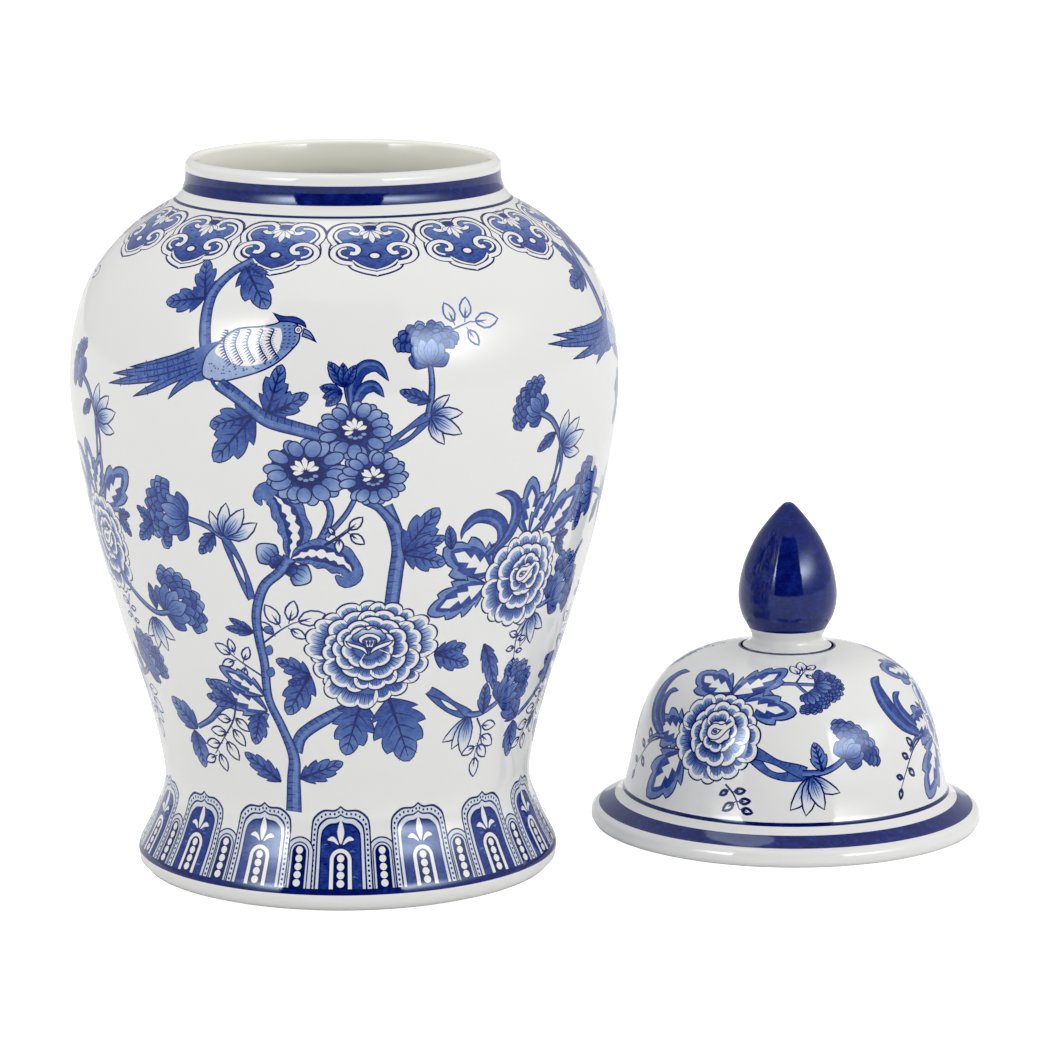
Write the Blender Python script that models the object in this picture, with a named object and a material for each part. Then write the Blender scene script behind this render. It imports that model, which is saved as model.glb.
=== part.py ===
"""Ginger jar (temple jar) in porcelain, standing on the floor with its lid beside it.

Metres, +Z up. The floor is z = 0 and the origin is the centre of the footprint that the jar and
the lid share. Every piece is turned: a profile of (radius, height) points spun about its own axis.
"""
import math

import bpy

MM = 0.001

# Driving dimensions, in millimetres.
JAR_HEIGHT = 310.0
BELLY_RADIUS = 118.0
BELLY_HEIGHT = 216.0
WAIST_RADIUS = 79.6
WAIST_HEIGHT = 43.0
FOOT_RADIUS = 91.6
FOOT_RING_OUTER = 84.0
FOOT_RING_INNER = 77.5
FOOT_RECESS = 3.5
NECK_BASE_RADIUS = 72.3
NECK_BASE_HEIGHT = 292.2
NECK_RADIUS = 67.4
RIM_RADIUS = 67.8
RIM_LAND_OUTER = 65.4
RIM_LAND_INNER = 64.0
MOUTH_RADIUS = 61.8
JAR_WALL = 5.0
JAR_FLOOR = 14.0

BRIM_RADIUS = 88.0
BRIM_EDGE_OUTER = 85.0
BRIM_EDGE_INNER = 82.6
BRIM_LAND = 8.5
DOME_BASE_RADIUS = 73.2
DOME_BASE_HEIGHT = 16.2
DOME_WALL = 4.6
CROWN_HEIGHT = 81.0
CROWN_LAND_RADIUS = 21.0
COLLAR_RADIUS = 60.4
COLLAR_THROAT = 56.5
COLLAR_BOTTOM = 1.2

FINIAL_TIP = 146.0
FINIAL_RADIUS = 22.2
FINIAL_BASE_RADIUS = 19.8
FINIAL_WAIST_RADIUS = 15.8
SPIGOT_RADIUS = 8.0
SEAT_DEPTH = 3.6
JOINT_GAP = 0.3

# The lid stands to the right of the jar and a little behind it, clear of the belly.
LID_ASIDE = 195.5
LID_BEHIND = 70.0

STEPS_LARGE = 56
STEPS_SMALL = 28


def clear_scene():
    for old in list(bpy.data.objects):
        bpy.data.objects.remove(old, do_unlink=True)


def curve_through(stations, pieces):
    """Smooth curve through the stations (Catmull-Rom), with `pieces` chords between each pair."""
    first = tuple(2 * a - b for a, b in zip(stations[0], stations[1]))
    last = tuple(2 * a - b for a, b in zip(stations[-1], stations[-2]))
    padded = [first, *stations, last]
    points = []
    for i in range(1, len(padded) - 2):
        p0, p1, p2, p3 = padded[i - 1:i + 3]
        for k in range(pieces):
            t = k / pieces
            points.append(tuple(
                0.5 * (2 * b + (c - a) * t + (2 * a - 5 * b + 4 * c - d) * t**2
                       + (3 * b - a - 3 * c + d) * t**3)
                for a, b, c, d in zip(p0, p1, p2, p3)))
    points.append(stations[-1])
    return points


def arc(centre, semi_axes, start, end, chords):
    """Elliptical arc from the start angle to the end angle, in degrees."""
    points = []
    for k in range(chords + 1):
        angle = math.radians(start + (end - start) * k / chords)
        points.append((centre[0] + semi_axes[0] * math.cos(angle),
                       centre[1] + semi_axes[1] * math.sin(angle)))
    return points


def inset(points, distance):
    """The points moved inwards, at right angles to an outer wall that runs downwards."""
    moved = []
    for i, (r, z) in enumerate(points):
        before = points[max(i - 1, 0)]
        after = points[min(i + 1, len(points) - 1)]
        dr, dz = after[0] - before[0], after[1] - before[1]
        length = math.hypot(dr, dz)
        moved.append((r + dz / length * distance, z - dr / length * distance))
    return moved


def material(name, colour, roughness):
    made = bpy.data.materials.new(name)
    made.use_nodes = True
    shader = made.node_tree.nodes["Principled BSDF"]
    shader.inputs["Base Color"].default_value = (*colour, 1.0)
    shader.inputs["Roughness"].default_value = roughness
    shader.inputs["Metallic"].default_value = 0.0
    return made


def turned(name, profile, steps, centre, surface):
    """Solid of revolution about its own +Z axis, standing at `centre` on the floor."""
    mesh = bpy.data.meshes.new(name)
    points = [(r * MM, 0.0, z * MM) for r, z in profile]
    edges = [(i, i + 1) for i in range(len(points) - 1)]
    mesh.from_pydata(points, edges, [])
    mesh.materials.append(surface)
    piece = bpy.data.objects.new(name, mesh)
    piece.location = (centre[0] * MM, centre[1] * MM, 0.0)
    bpy.context.collection.objects.link(piece)
    spin = piece.modifiers.new("Spin", "SCREW")
    spin.axis = "Z"
    spin.angle = math.tau
    spin.steps = steps
    spin.render_steps = steps
    spin.use_merge_vertices = True
    spin.merge_threshold = 0.0001
    spin.use_smooth_shade = True
    return piece


def jar_profile():
    """Shoulder, belly, waist and spreading foot, with a turned foot ring and an open mouth."""
    stations = [
        (NECK_BASE_RADIUS, NECK_BASE_HEIGHT),
        (90.7, 280.3),
        (106.8, 262.0),
        (115.4, 240.0),
        (BELLY_RADIUS, BELLY_HEIGHT),
        (115.8, 190.0),
        (108.0, 150.0),
        (97.1, 110.0),
        (86.5, 76.0),
        (WAIST_RADIUS, WAIST_HEIGHT),
        (83.6, 26.0),
        (91.2, 10.0),
    ]
    wall = curve_through(stations, 2)
    rim_outer = arc((RIM_LAND_OUTER, JAR_HEIGHT - 4.4), (RIM_RADIUS - RIM_LAND_OUTER, 4.4), 90, 0, 3)
    neck = [(NECK_RADIUS, 302.5), (68.0, 299.0), (69.4, 295.6)]
    foot = arc((FOOT_RING_OUTER, 6.8), (FOOT_RADIUS - FOOT_RING_OUTER, 6.8), 10, -90, 4)
    underside = [
        (FOOT_RING_INNER, 0.0),
        (FOOT_RING_INNER - 1.2, FOOT_RECESS),
        (0.0, FOOT_RECESS + 0.5),
    ]
    inner_wall = [p for p in inset(stations, JAR_WALL) if p[1] > 36.0]
    inner_neck = [(MOUTH_RADIUS - 0.4, 300.0), (63.2, 293.0)]
    inner_floor = [(72.6, 26.0), (65.0, 17.0), (48.0, JAR_FLOOR + 0.6), (0.0, JAR_FLOOR)]
    rim_inner = arc((RIM_LAND_INNER, JAR_HEIGHT - 3.0), (RIM_LAND_INNER - MOUTH_RADIUS, 3.0), 180, 90, 3)
    inside = inner_floor[::-1] + inner_wall[::-1] + inner_neck[::-1] + rim_inner
    return inside + rim_outer + neck + wall + foot + underside


def lid_profile():
    """Dome over a drooping brim, with a locating collar inside that fits the jar's mouth."""
    seat_radius = SPIGOT_RADIUS + JOINT_GAP
    seat = [
        (0.0, CROWN_HEIGHT - SEAT_DEPTH),
        (seat_radius, CROWN_HEIGHT - SEAT_DEPTH),
        (seat_radius, CROWN_HEIGHT),
    ]
    stations = [
        (CROWN_LAND_RADIUS, CROWN_HEIGHT),
        (40.0, 77.0),
        (52.8, 69.8),
        (60.8, 60.0),
        (66.0, 48.0),
        (69.0, 35.5),
        (71.0, 25.0),
        (DOME_BASE_RADIUS, DOME_BASE_HEIGHT),
    ]
    dome = curve_through(stations, 2)
    brim = [(75.4, 13.6), (79.4, 11.0), (83.4, 8.8)]
    edge = arc((BRIM_EDGE_OUTER, 4.0), (BRIM_RADIUS - BRIM_EDGE_OUTER, 4.0), 60, -90, 5)
    under = [
        (BRIM_EDGE_INNER, 0.0),
        (80.4, 3.4),
        (77.0, BRIM_LAND),
        (COLLAR_RADIUS + 1.0, BRIM_LAND),
        (COLLAR_RADIUS, 7.6),
        (COLLAR_RADIUS, COLLAR_BOTTOM + 0.8),
        (COLLAR_RADIUS - 0.8, COLLAR_BOTTOM),
        (COLLAR_THROAT + 0.8, COLLAR_BOTTOM),
        (COLLAR_THROAT, COLLAR_BOTTOM + 0.8),
        (COLLAR_THROAT + 0.6, 8.5),
        (62.5, 14.5),
    ]
    inner_dome = [p for p in inset(stations, DOME_WALL) if p[1] > 20.0]
    return seat + dome + brim + edge + under + inner_dome[::-1] + [(0.0, CROWN_HEIGHT - DOME_WALL - 3.8)]


def finial_profile():
    """Lotus-bud finial on a waisted neck, luted to the crown by a short spigot."""
    base = CROWN_HEIGHT + JOINT_GAP
    bud = curve_through([
        (2.6, FINIAL_TIP - 0.6),
        (9.4, 137.6),
        (15.3, 128.9),
        (20.2, 117.0),
        (FINIAL_RADIUS, 105.0),
        (20.9, 96.0),
        (17.6, 89.5),
        (FINIAL_WAIST_RADIUS, 85.4),
        (16.8, 82.8),
    ], 2)
    foot = [
        (FINIAL_BASE_RADIUS, base + 0.6),
        (FINIAL_BASE_RADIUS, base),
        (SPIGOT_RADIUS, base),
        (SPIGOT_RADIUS, CROWN_HEIGHT - SEAT_DEPTH + JOINT_GAP),
        (0.0, CROWN_HEIGHT - SEAT_DEPTH + JOINT_GAP),
    ]
    return [(0.0, FINIAL_TIP)] + bud + foot


def build():
    clear_scene()
    width = BELLY_RADIUS + LID_ASIDE + BRIM_RADIUS
    depth = BELLY_RADIUS + LID_BEHIND + BRIM_RADIUS
    jar_centre = (BELLY_RADIUS - width / 2, BELLY_RADIUS - depth / 2)
    lid_centre = (jar_centre[0] + LID_ASIDE, jar_centre[1] + LID_BEHIND)

    jar_glaze = material("jar_glaze", (0.76, 0.76, 0.74), 0.08)
    lid_glaze = material("lid_glaze", (0.76, 0.76, 0.74), 0.08)
    cobalt_glaze = material("cobalt_glaze", (0.01, 0.015, 0.22), 0.08)

    turned("jar_body", jar_profile(), STEPS_LARGE, jar_centre, jar_glaze)
    turned("lid", lid_profile(), STEPS_LARGE, lid_centre, lid_glaze)
    turned("lid_finial", finial_profile(), STEPS_SMALL, lid_centre, cobalt_glaze)


build()
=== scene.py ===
"""Looks of the ginger jar: glazed skins painted in cobalt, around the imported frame.

The painting is drawn as flat shapes on each turned surface, unrolled to degrees round the axis and
millimetres along the profile. The shapes are triangulated together, and each corner of the mesh
keeps how much cobalt it carries, from 0 (bare white) to 1 (the darkest line).
"""
import math
from collections import namedtuple

import bpy
import numpy as np
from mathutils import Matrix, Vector
from mathutils.geometry import delaunay_2d_cdt


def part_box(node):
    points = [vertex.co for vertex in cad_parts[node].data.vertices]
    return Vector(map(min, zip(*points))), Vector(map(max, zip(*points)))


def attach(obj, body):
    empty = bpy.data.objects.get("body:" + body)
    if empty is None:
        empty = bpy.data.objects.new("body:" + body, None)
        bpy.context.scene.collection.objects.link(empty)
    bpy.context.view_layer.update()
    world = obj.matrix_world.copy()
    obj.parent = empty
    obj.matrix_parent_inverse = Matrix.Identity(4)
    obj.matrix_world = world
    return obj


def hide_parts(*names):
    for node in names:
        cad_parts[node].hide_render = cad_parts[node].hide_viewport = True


MM = 0.001

# How much cobalt a stroke or a wash carries.
INK = 1.0
DEEP = 0.84
DARK = 0.72
MID = 0.56
LIGHT = 0.4
PALE = 0.24
BARE = 0.0

EDGE = 0.68  # width of a painted outline, in millimetres
LONGEST_CHORD = 2.2  # longest side of a painted shape, in millimetres
SPREAD = 1.7  # millimetres to a degree while triangulating
COLUMN = 2.0  # degrees between the columns of a painted skin
PLAIN_COLUMNS = 120  # columns all round a skin with no painting
# Millimetres between the rings of each skin.
JAR_ROW, INSIDE_ROW, LID_ROW, BUD_ROW = 3.2, 4.0, 2.4, 1.6

GLAZE_IOR = 1.52
WHITE = (1.0, 1.0, 1.0, 1.0)

# Studio: light levels, and bearings in degrees from the near side, positive to the right.
TENT_LIGHT = 1.1  # what shading sees all round
TENT_SLANT = 0.13  # how much brighter that is on the far right, as a share, and darker on the left
ROOM_LIGHT = 0.56  # what the glaze mirrors all round
GAP_LIGHT = 0.02  # what it mirrors in the gap where the camera stands
GAP_HALF = 34.0  # how far the gap reaches to each side
GAP_TOP = 56.0  # and up, in degrees above level
# Mirrored glows beside the gap: inner bearing, fade in bearing, middle rise, half height, extra light.
GLOWS = [(-35.0, 20.0, 24.0, 10.0, 14.0), (32.0, 31.0, 22.0, 8.5, 12.0)]
# The soft box over the jar: place and aim in metres, side in metres, watts.
BOX_PLACE, BOX_AIM, BOX_SIDE, BOX_WATTS = (-0.25, 0.6, 1.9), (-0.05, 0.0, 0.2), 0.5, 1.5

# The jar's borders: cloud-collar lappets, arched panels, and the height where the panels stand.
LAPPETS, PANELS, PANEL_FOOT = 14, 15, 10.6
# The garden on the jar, the front one last: degrees round, millimetres up, degrees of tail lift.
GARDENS = [(104.5, 1.5, 17.0), (-112.7, 10.0, 0.0), (0.0, 0.0, 0.0)]

# The camera, in metres, degrees down from level, and millimetres of lens.
EYE_PLACE, EYE_DOWN, EYE_LENS = (-0.00515, -2.090, 0.549), 10.93, 166.9

# Turned profiles, as (radius, height) in millimetres, the same as the part's.
JAR_STATIONS = [(72.3, 292.2), (90.7, 280.3), (106.8, 262.0), (115.4, 240.0), (118.0, 216.0),
                (115.8, 190.0), (108.0, 150.0), (97.1, 110.0), (86.5, 76.0), (79.6, 43.0),
                (83.6, 26.0), (91.2, 10.0)]
DOME_STATIONS = [(21.0, 81.0), (40.0, 77.0), (52.8, 69.8), (60.8, 60.0), (66.0, 48.0),
                 (69.0, 35.5), (71.0, 25.0), (73.2, 16.2)]
BUD_STATIONS = [(2.6, 145.4), (9.4, 137.6), (15.3, 128.9), (20.2, 117.0), (22.2, 105.0),
                (20.9, 96.0), (17.6, 89.5), (15.8, 85.4), (16.8, 82.8)]
JAR_WALL = 5.0
DOME_WALL = 4.6


# ---- curves


def smooth(points, step=1.3, closed=False):
    """Catmull-Rom curve through the points, sampled about every `step`."""
    points = np.asarray(points, float)
    count = len(points)
    if closed:
        padded = np.vstack([points[-1], points, points[0], points[1]])
    else:
        padded = np.vstack([2 * points[0] - points[1], points, 2 * points[-1] - points[-2]])
    spans = count if closed else count - 1
    out = []
    for i in range(spans):
        a, b, c, d = padded[i:i + 4]
        pieces = max(1, int(round(np.hypot(*(c - b)) / step)))
        t = (np.arange(pieces) / pieces)[:, None]
        out.append(0.5 * (2 * b + (c - a) * t + (2 * a - 5 * b + 4 * c - d) * t**2
                          + (3 * b - a - 3 * c + d) * t**3))
    if not closed:
        out.append(points[-1:])
    return np.vstack(out)


def chain(*runs, step=1.3):
    """One closed outline from smooth runs, with a corner where each run meets the next."""
    return np.vstack([smooth(run, step)[:-1] for run in runs])


def polar(angle):
    """Unit vectors at an angle or angles in radians, anticlockwise from +x."""
    return np.stack([np.cos(angle), np.sin(angle)], axis=-1)


def arc(centre, semi_axes, start, end, chords):
    """Elliptical arc from the start angle to the end angle, in degrees."""
    return centre + polar(np.radians(np.linspace(start, end, chords + 1))) * semi_axes


def sideways(points, closed=False):
    """Unit normals on the left of each point of a line."""
    points = np.asarray(points, float)
    if closed:
        along = np.roll(points, -1, axis=0) - np.roll(points, 1, axis=0)
    else:
        along = np.gradient(points, axis=0)
    along /= np.maximum(np.hypot(*along.T), 1e-9)[:, None]
    return np.column_stack([-along[:, 1], along[:, 0]])


def signed_area(points):
    x, y = points.T
    return 0.5 * np.sum(x * np.roll(y, -1) - y * np.roll(x, -1))


def inset(points, distance):
    """A closed outline moved inwards (outwards when the distance is negative)."""
    side = 1.0 if signed_area(points) > 0 else -1.0
    return points + sideways(points, closed=True) * distance * side


def mirrored(right):
    """The right half of an outline, from its foot to its tip, with its mirror image on the left."""
    right = np.asarray(right, float)
    return np.vstack([right, (right[1:-1] * (-1.0, 1.0))[::-1]])


def turn(points, degrees):
    """Points turned anticlockwise about (0, 0)."""
    c, s = math.cos(math.radians(degrees)), math.sin(math.radians(degrees))
    return np.asarray(points, float) @ np.array([[c, s], [-s, c]])


# ---- the unrolled surface


class Surface:
    """A turned surface: profile points (radius, height) in millimetres, from the top outwards."""

    def __init__(self, profile, centre):
        profile = np.asarray(profile, float)
        keep = np.append(True, np.hypot(*np.diff(profile, axis=0).T) > 1e-6)
        self.profile = profile[keep]
        self.centre = centre
        self.run = np.append(0.0, np.cumsum(np.hypot(*np.diff(self.profile, axis=0).T)))
        along = np.gradient(self.profile, self.run, axis=0)
        along /= np.hypot(*along.T)[:, None]
        self.out = np.column_stack([-along[:, 1], along[:, 0]])

    def radius(self, run):
        return np.interp(run, self.run, self.profile[:, 0])

    def run_at(self, height):
        return np.interp(-np.asarray(height, float), -self.profile[:, 1], self.run)

    def place(self, degrees, run):
        """Points and outward normals, in metres, where the unrolled points are on the object."""
        angle = np.radians(degrees)
        radius = self.radius(run)
        height = np.interp(run, self.run, self.profile[:, 1])
        slope = np.column_stack([np.interp(run, self.run, self.out[:, 0]),
                                 np.interp(run, self.run, self.out[:, 1])])
        slope /= np.hypot(*slope.T)[:, None]
        points = np.column_stack([self.centre[0] + radius * MM * np.sin(angle),
                                  self.centre[1] - radius * MM * np.cos(angle), height * MM])
        normals = np.column_stack([slope[:, 0] * np.sin(angle), -slope[:, 0] * np.cos(angle),
                                   slope[:, 1]])
        return points, normals


Shape = namedtuple("Shape", "outline tone brush stroke")


class Painting:
    """Flat shapes in painter's order. Places are (degrees round the axis, height)."""

    def __init__(self, surface):
        self.surface = surface
        self.shapes = []
        self.shift = (0.0, 0.0)

    def brush(self, degrees, height, turned=0.0):
        return Brush(self, degrees + self.shift[0], height + self.shift[1], turned)

    def settle(self, points):
        """A brush in the middle of some places, and the places in its millimetres."""
        brush = self.brush(*np.mean(np.asarray(points, float), axis=0))
        return brush, brush.find(points)

    def flow(self, places, step):
        """A brush, a smooth line through some places, and each point's share of the way along it."""
        brush, line = self.settle(places)
        line = smooth(line, step)
        return brush, line, np.linspace(0.0, 1.0, len(line))

    def aim(self, base, tip):
        """A brush at the base that looks along +y to the tip, and the length between them."""
        brush = self.brush(*base)
        x, y = brush.find([tip])[0]
        return self.brush(*base, turned=math.degrees(math.atan2(-x, y))), math.hypot(x, y)

    def band(self, top, bottom, tone):
        """A painted ring between two runs along the profile."""
        columns = np.arange(-180.0, 541.0, COLUMN)
        outline = np.vstack([[(x, -bottom) for x in columns], [(x, -top) for x in columns[::-1]]])
        self.shapes.append(Shape(outline, tone, None, False))


class Brush:
    """Draws in true millimetres about one place on a painting: x to the right, y up."""

    def __init__(self, art, degrees, height, turned):
        self.art = art
        self.degrees = degrees
        self.run = float(art.surface.run_at(height))
        self.radius = float(art.surface.radius(self.run))
        self.turned = turned

    def find(self, places):
        """Places (degrees, height) as millimetres from this brush, before its turn."""
        places = np.asarray(places, float) + self.art.shift
        x = np.radians(places[:, 0] - self.degrees) * self.radius
        return np.column_stack([x, self.run - self.art.surface.run_at(places[:, 1])])

    def lay(self, points):
        """Brush millimetres to the unrolled (degrees, -run)."""
        points = turn(points, self.turned)
        return np.column_stack([self.degrees + np.degrees(points[:, 0] / self.radius),
                                points[:, 1] - self.run])

    def read(self, points):
        """Unrolled (degrees, -run) back to brush millimetres."""
        x = np.radians(points[:, 0] - self.degrees) * self.radius
        return turn(np.column_stack([x, points[:, 1] + self.run]), -self.turned)

    def fill(self, points, tone):
        """A wash inside a closed outline. Long sides get points, so that they bend with the clay."""
        points = np.asarray(points, float)
        gaps = np.hypot(*(np.roll(points, -1, axis=0) - points).T)
        dense = []
        for i, gap in enumerate(gaps):
            pieces = max(1, math.ceil(gap / LONGEST_CHORD))
            t = (np.arange(pieces) / pieces)[:, None]
            dense.append(points[i] * (1 - t) + points[(i + 1) % len(points)] * t)
        outline = self.lay(np.vstack(dense))
        if signed_area(outline) < 0:
            outline = outline[::-1]
        self.art.shapes.append(Shape(outline, tone, self, False))

    def blob(self, points, tone, step=1.3):
        """A wash inside a smooth closed curve through the points."""
        self.fill(smooth(points, step, closed=True), tone)

    def line(self, points, width, tone, taper=(1.0, 1.0)):
        """A stroke along the points. The taper is its width at each end, as a share."""
        share = np.linspace(0.0, 1.0, len(points))
        half = width / 2 * np.interp(share, (0.0, 0.5, 1.0), (taper[0], 1.0, taper[1]))
        self.ribbon(np.asarray(points, float), half, tone)

    def ribbon(self, points, half, tone, shift=0.0):
        """A strip along the points, from its half width at each, moved sideways by the shift."""
        normals = sideways(points)
        half = np.atleast_1d(np.maximum(half, 0.02))[:, None] * np.ones((len(points), 1))
        left = self.lay(points + normals * (half + shift))
        right = self.lay(points - normals * (half - shift))
        self.art.shapes.append(Shape(np.vstack([left, right[::-1]]), tone, self, True))

    def outlined(self, points, tone, edge, ink=INK):
        """A wash inside an outline."""
        self.fill(points, ink)
        self.fill(inset(np.asarray(points, float), edge), tone)

    def strip(self, line, half, tone, edge):
        """A ribbon with an inked edge."""
        self.ribbon(line, half, INK)
        self.ribbon(line, half - edge, tone)

    def hatch(self, line, rim, reach, picks, ahead, width, tone, taper=(1.4, 0.2), sides=(1,)):
        """Short strokes from the rim of a strip towards its middle, at the picked points."""
        normals = sideways(line)
        for i in picks:
            for side in sides:
                edge = line[i] + normals[i] * rim[i] * side
                tip = edge - normals[i] * reach[i] * side + (line[i + 1] - line[i]) * ahead
                self.line([edge, tip], width, tone, taper)


def fade(start, end, first, last):
    """A tone that runs from `first` at the start point to `last` at the end point."""
    start, end = np.asarray(start, float), np.asarray(end, float)
    along = end - start

    def tone(points):
        share = np.clip((points - start) @ along / (along @ along), 0.0, 1.0)
        return first + (last - first) * share

    return tone


def rising(length, first, last):
    """A fade up a brush's y."""
    return fade((0.0, 0.0), (0.0, length), first, last)


def glow(centre, inner, outer, first, last):
    """A tone that runs from `first` at the inner radius to `last` at the outer one."""

    def tone(points):
        far = np.hypot(*(points - np.asarray(centre, float)).T)
        share = np.clip((far - inner) / (outer - inner), 0.0, 1.0)
        return first + (last - first) * share

    return tone


# ---- meshes


def winding(points, outline):
    """How many times the closed outline winds round each point."""
    x, y = points[:, :1], points[:, 1:]
    ax, ay = outline.T
    bx, by = np.roll(outline, -1, axis=0).T
    side = (bx - ax) * (y - ay) - (x - ax) * (by - ay)
    up = (ay <= y) & (y < by) & (side > 0)
    down = (by <= y) & (y < ay) & (side < 0)
    return up.sum(axis=1) - down.sum(axis=1)


def laps_in(art, start, end):
    """Shapes that reach into a sector, each with the whole turns that bring it there."""
    for index, shape in enumerate(art.shapes):
        low, high = shape.outline[:, 0].min(), shape.outline[:, 0].max()
        for lap in (-360.0, 0.0, 360.0):
            if low + lap < end and high + lap > start:
                yield index, shape, lap


def triangulate(art, start, end, rows):
    """Triangles of a sector that follow every outline on it, as unrolled points and indices."""
    spots, edges = [], []

    def put(points):
        base, count = len(spots), len(points)
        spots.extend(map(tuple, points * (SPREAD, 1.0)))
        edges.extend((base + i, base + (i + 1) % count) for i in range(count))

    columns = np.linspace(start, end, int(round((end - start) / COLUMN)) + 1)
    lines = -np.asarray(rows)
    put(np.vstack([[(x, lines[-1]) for x in columns[:-1]], [(end, y) for y in lines[:0:-1]],
                   [(x, lines[0]) for x in columns[:0:-1]], [(start, y) for y in lines[:-1]]]))
    spots.extend((x * SPREAD, y) for x in columns[1:-1] for y in lines[1:-1])
    for _, shape, lap in laps_in(art, start, end):
        put(shape.outline + (lap, 0.0))
    made = delaunay_2d_cdt(spots, edges, [], 0, 1e-5, False)
    points = np.array([tuple(v) for v in made[0]]) / (SPREAD, 1.0)
    triangles = np.array([tuple(t) for t in made[2]])
    middle = points[triangles].mean(axis=1)
    inside = ((middle[:, 0] > start) & (middle[:, 0] < end)
              & (middle[:, 1] < lines[0]) & (middle[:, 1] > lines[-1]))
    return points, triangles[inside], middle[inside]


def paint_sector(art, start, end, rows):
    """Triangles of one sector, with the cobalt that each of their corners carries."""
    points, triangles, middle = triangulate(art, start, end, rows)
    order = np.argsort(middle[:, 0])
    middle = middle[order]
    triangles = triangles[order]
    cobalt = np.zeros(triangles.shape)
    for _, shape, lap in laps_in(art, start, end):
        outline = shape.outline + (lap, 0.0)
        low, high = outline.min(axis=0), outline.max(axis=0)
        first, last = np.searchsorted(middle[:, 0], (low[0], high[0]))
        near = np.arange(first, last)
        near = near[(middle[near, 1] > low[1]) & (middle[near, 1] < high[1])]
        turns = winding(middle[near], outline)
        near = near[turns != 0 if shape.stroke else turns > 0]
        if callable(shape.tone) and len(near):
            corners = points[triangles[near].ravel()] - (lap, 0.0)
            cobalt[near] = shape.tone(shape.brush.read(corners)).reshape(-1, 3)
        else:
            cobalt[near] = shape.tone
    return points, triangles, cobalt


def mesh_object(name, points, faces, normals, material, cobalt=None):
    mesh = bpy.data.meshes.new(name)
    mesh.from_pydata([tuple(p) for p in points], [], [tuple(map(int, f)) for f in faces])
    mesh.polygons.foreach_set("use_smooth", [True] * len(mesh.polygons))
    if cobalt is not None:
        layer = mesh.attributes.new("cobalt", "FLOAT", "CORNER")
        layer.data.foreach_set("value", np.clip(cobalt, 0.0, 1.0).ravel().astype(np.float32))
    mesh.materials.append(material)
    mesh.update()
    mesh.normals_split_custom_set_from_vertices([tuple(n) for n in normals])
    piece = bpy.data.objects.new(name, mesh)
    bpy.context.collection.objects.link(piece)
    return piece


def painted_skin(name, art, start, end, rows, material):
    """One sector of a painted surface as an object."""
    unrolled, triangles, cobalt = paint_sector(art, start, end, rows)
    used = np.unique(triangles)
    renumber = np.zeros(len(unrolled), int)
    renumber[used] = np.arange(len(used))
    unrolled = unrolled[used]
    points, normals = art.surface.place(unrolled[:, 0], -unrolled[:, 1])
    return mesh_object(name, points, renumber[triangles], normals, material, cobalt)


def plain_skin(name, surface, rows, material):
    """A turned surface with no painting: rings of quads, closed at the axis where it gets there."""
    columns = PLAIN_COLUMNS
    rows = np.asarray(rows, float)
    degrees = np.arange(columns) * 360.0 / columns
    points, normals, rings = [], [], []
    for run in rows:
        count = 1 if surface.radius(run) < 0.01 else columns
        where, out = surface.place(degrees[:count], np.full(count, run))
        rings.append(list(range(len(points), len(points) + count)))
        points.extend(where)
        normals.extend(out)
    faces = []
    for upper, lower in zip(rings[:-1], rings[1:]):
        for i in range(columns):
            j = (i + 1) % columns
            quad = [upper[i % len(upper)], lower[i % len(lower)],
                    lower[j % len(lower)], upper[j % len(upper)]]
            faces.append(list(dict.fromkeys(quad)))
    return mesh_object(name, points, faces, normals, material)


def rows_between(surface, step):
    """Runs down a surface, no further apart than `step`, that keep every bend of its profile."""
    rows = [0.0]
    for run in surface.run[1:]:
        gap = run - rows[-1]
        if gap >= step or run == surface.run[-1]:
            pieces = max(1, math.ceil(gap / (1.6 * step)))
            rows.extend(rows[-1] + gap * np.arange(1, pieces + 1) / pieces)
    return rows


# ---- profiles


def jar_outer():
    rim = arc((65.4, 305.6), (2.4, 4.4), 90, 0, 8)
    neck = smooth([(67.8, 305.6), (67.4, 302.5), (68.0, 299.0), (69.4, 295.6), (72.3, 292.2)], 1.0)
    wall = smooth(JAR_STATIONS, 2.5)
    foot = arc((84.0, 6.8), (7.6, 6.8), 10, -90, 12)
    return np.vstack([rim, neck, wall, foot])


def inner_line(stations, wall):
    """The stations moved inwards by the wall's thickness."""
    return np.asarray(stations, float) - Surface(stations, (0.0, 0.0)).out * wall


def jar_inner():
    wall = inner_line(JAR_STATIONS, JAR_WALL)
    wall = wall[wall[:, 1] > 36.0]
    rim = arc((64.0, 307.0), (2.2, 3.0), 90, 180, 6)
    body = smooth([(61.8, 307.0), (61.4, 300.0), (63.2, 293.0), *wall, (72.6, 26.0), (65.0, 17.0),
                   (48.0, 14.6), (0.0, 14.0)], 3.0)
    return np.vstack([[(65.4, 310.0)], rim, body])


def jar_base():
    return [(84.0, 0.0), (80.8, 0.0), (78.4, 0.05), (77.5, 0.5), (76.6, 2.6), (75.8, 3.4), (74.0, 3.5),
            (40.0, 3.8), (0.0, 4.0)]


def lid_outer():
    dome = smooth(DOME_STATIONS, 1.6)
    brim = smooth([(73.2, 16.2), (75.4, 13.6), (79.4, 11.0), (83.4, 8.8), (86.5, 7.46)], 1.0)
    edge = arc((85.0, 4.0), (3.0, 4.0), 60, -90, 10)
    return np.vstack([dome, brim[:-1], edge])


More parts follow.
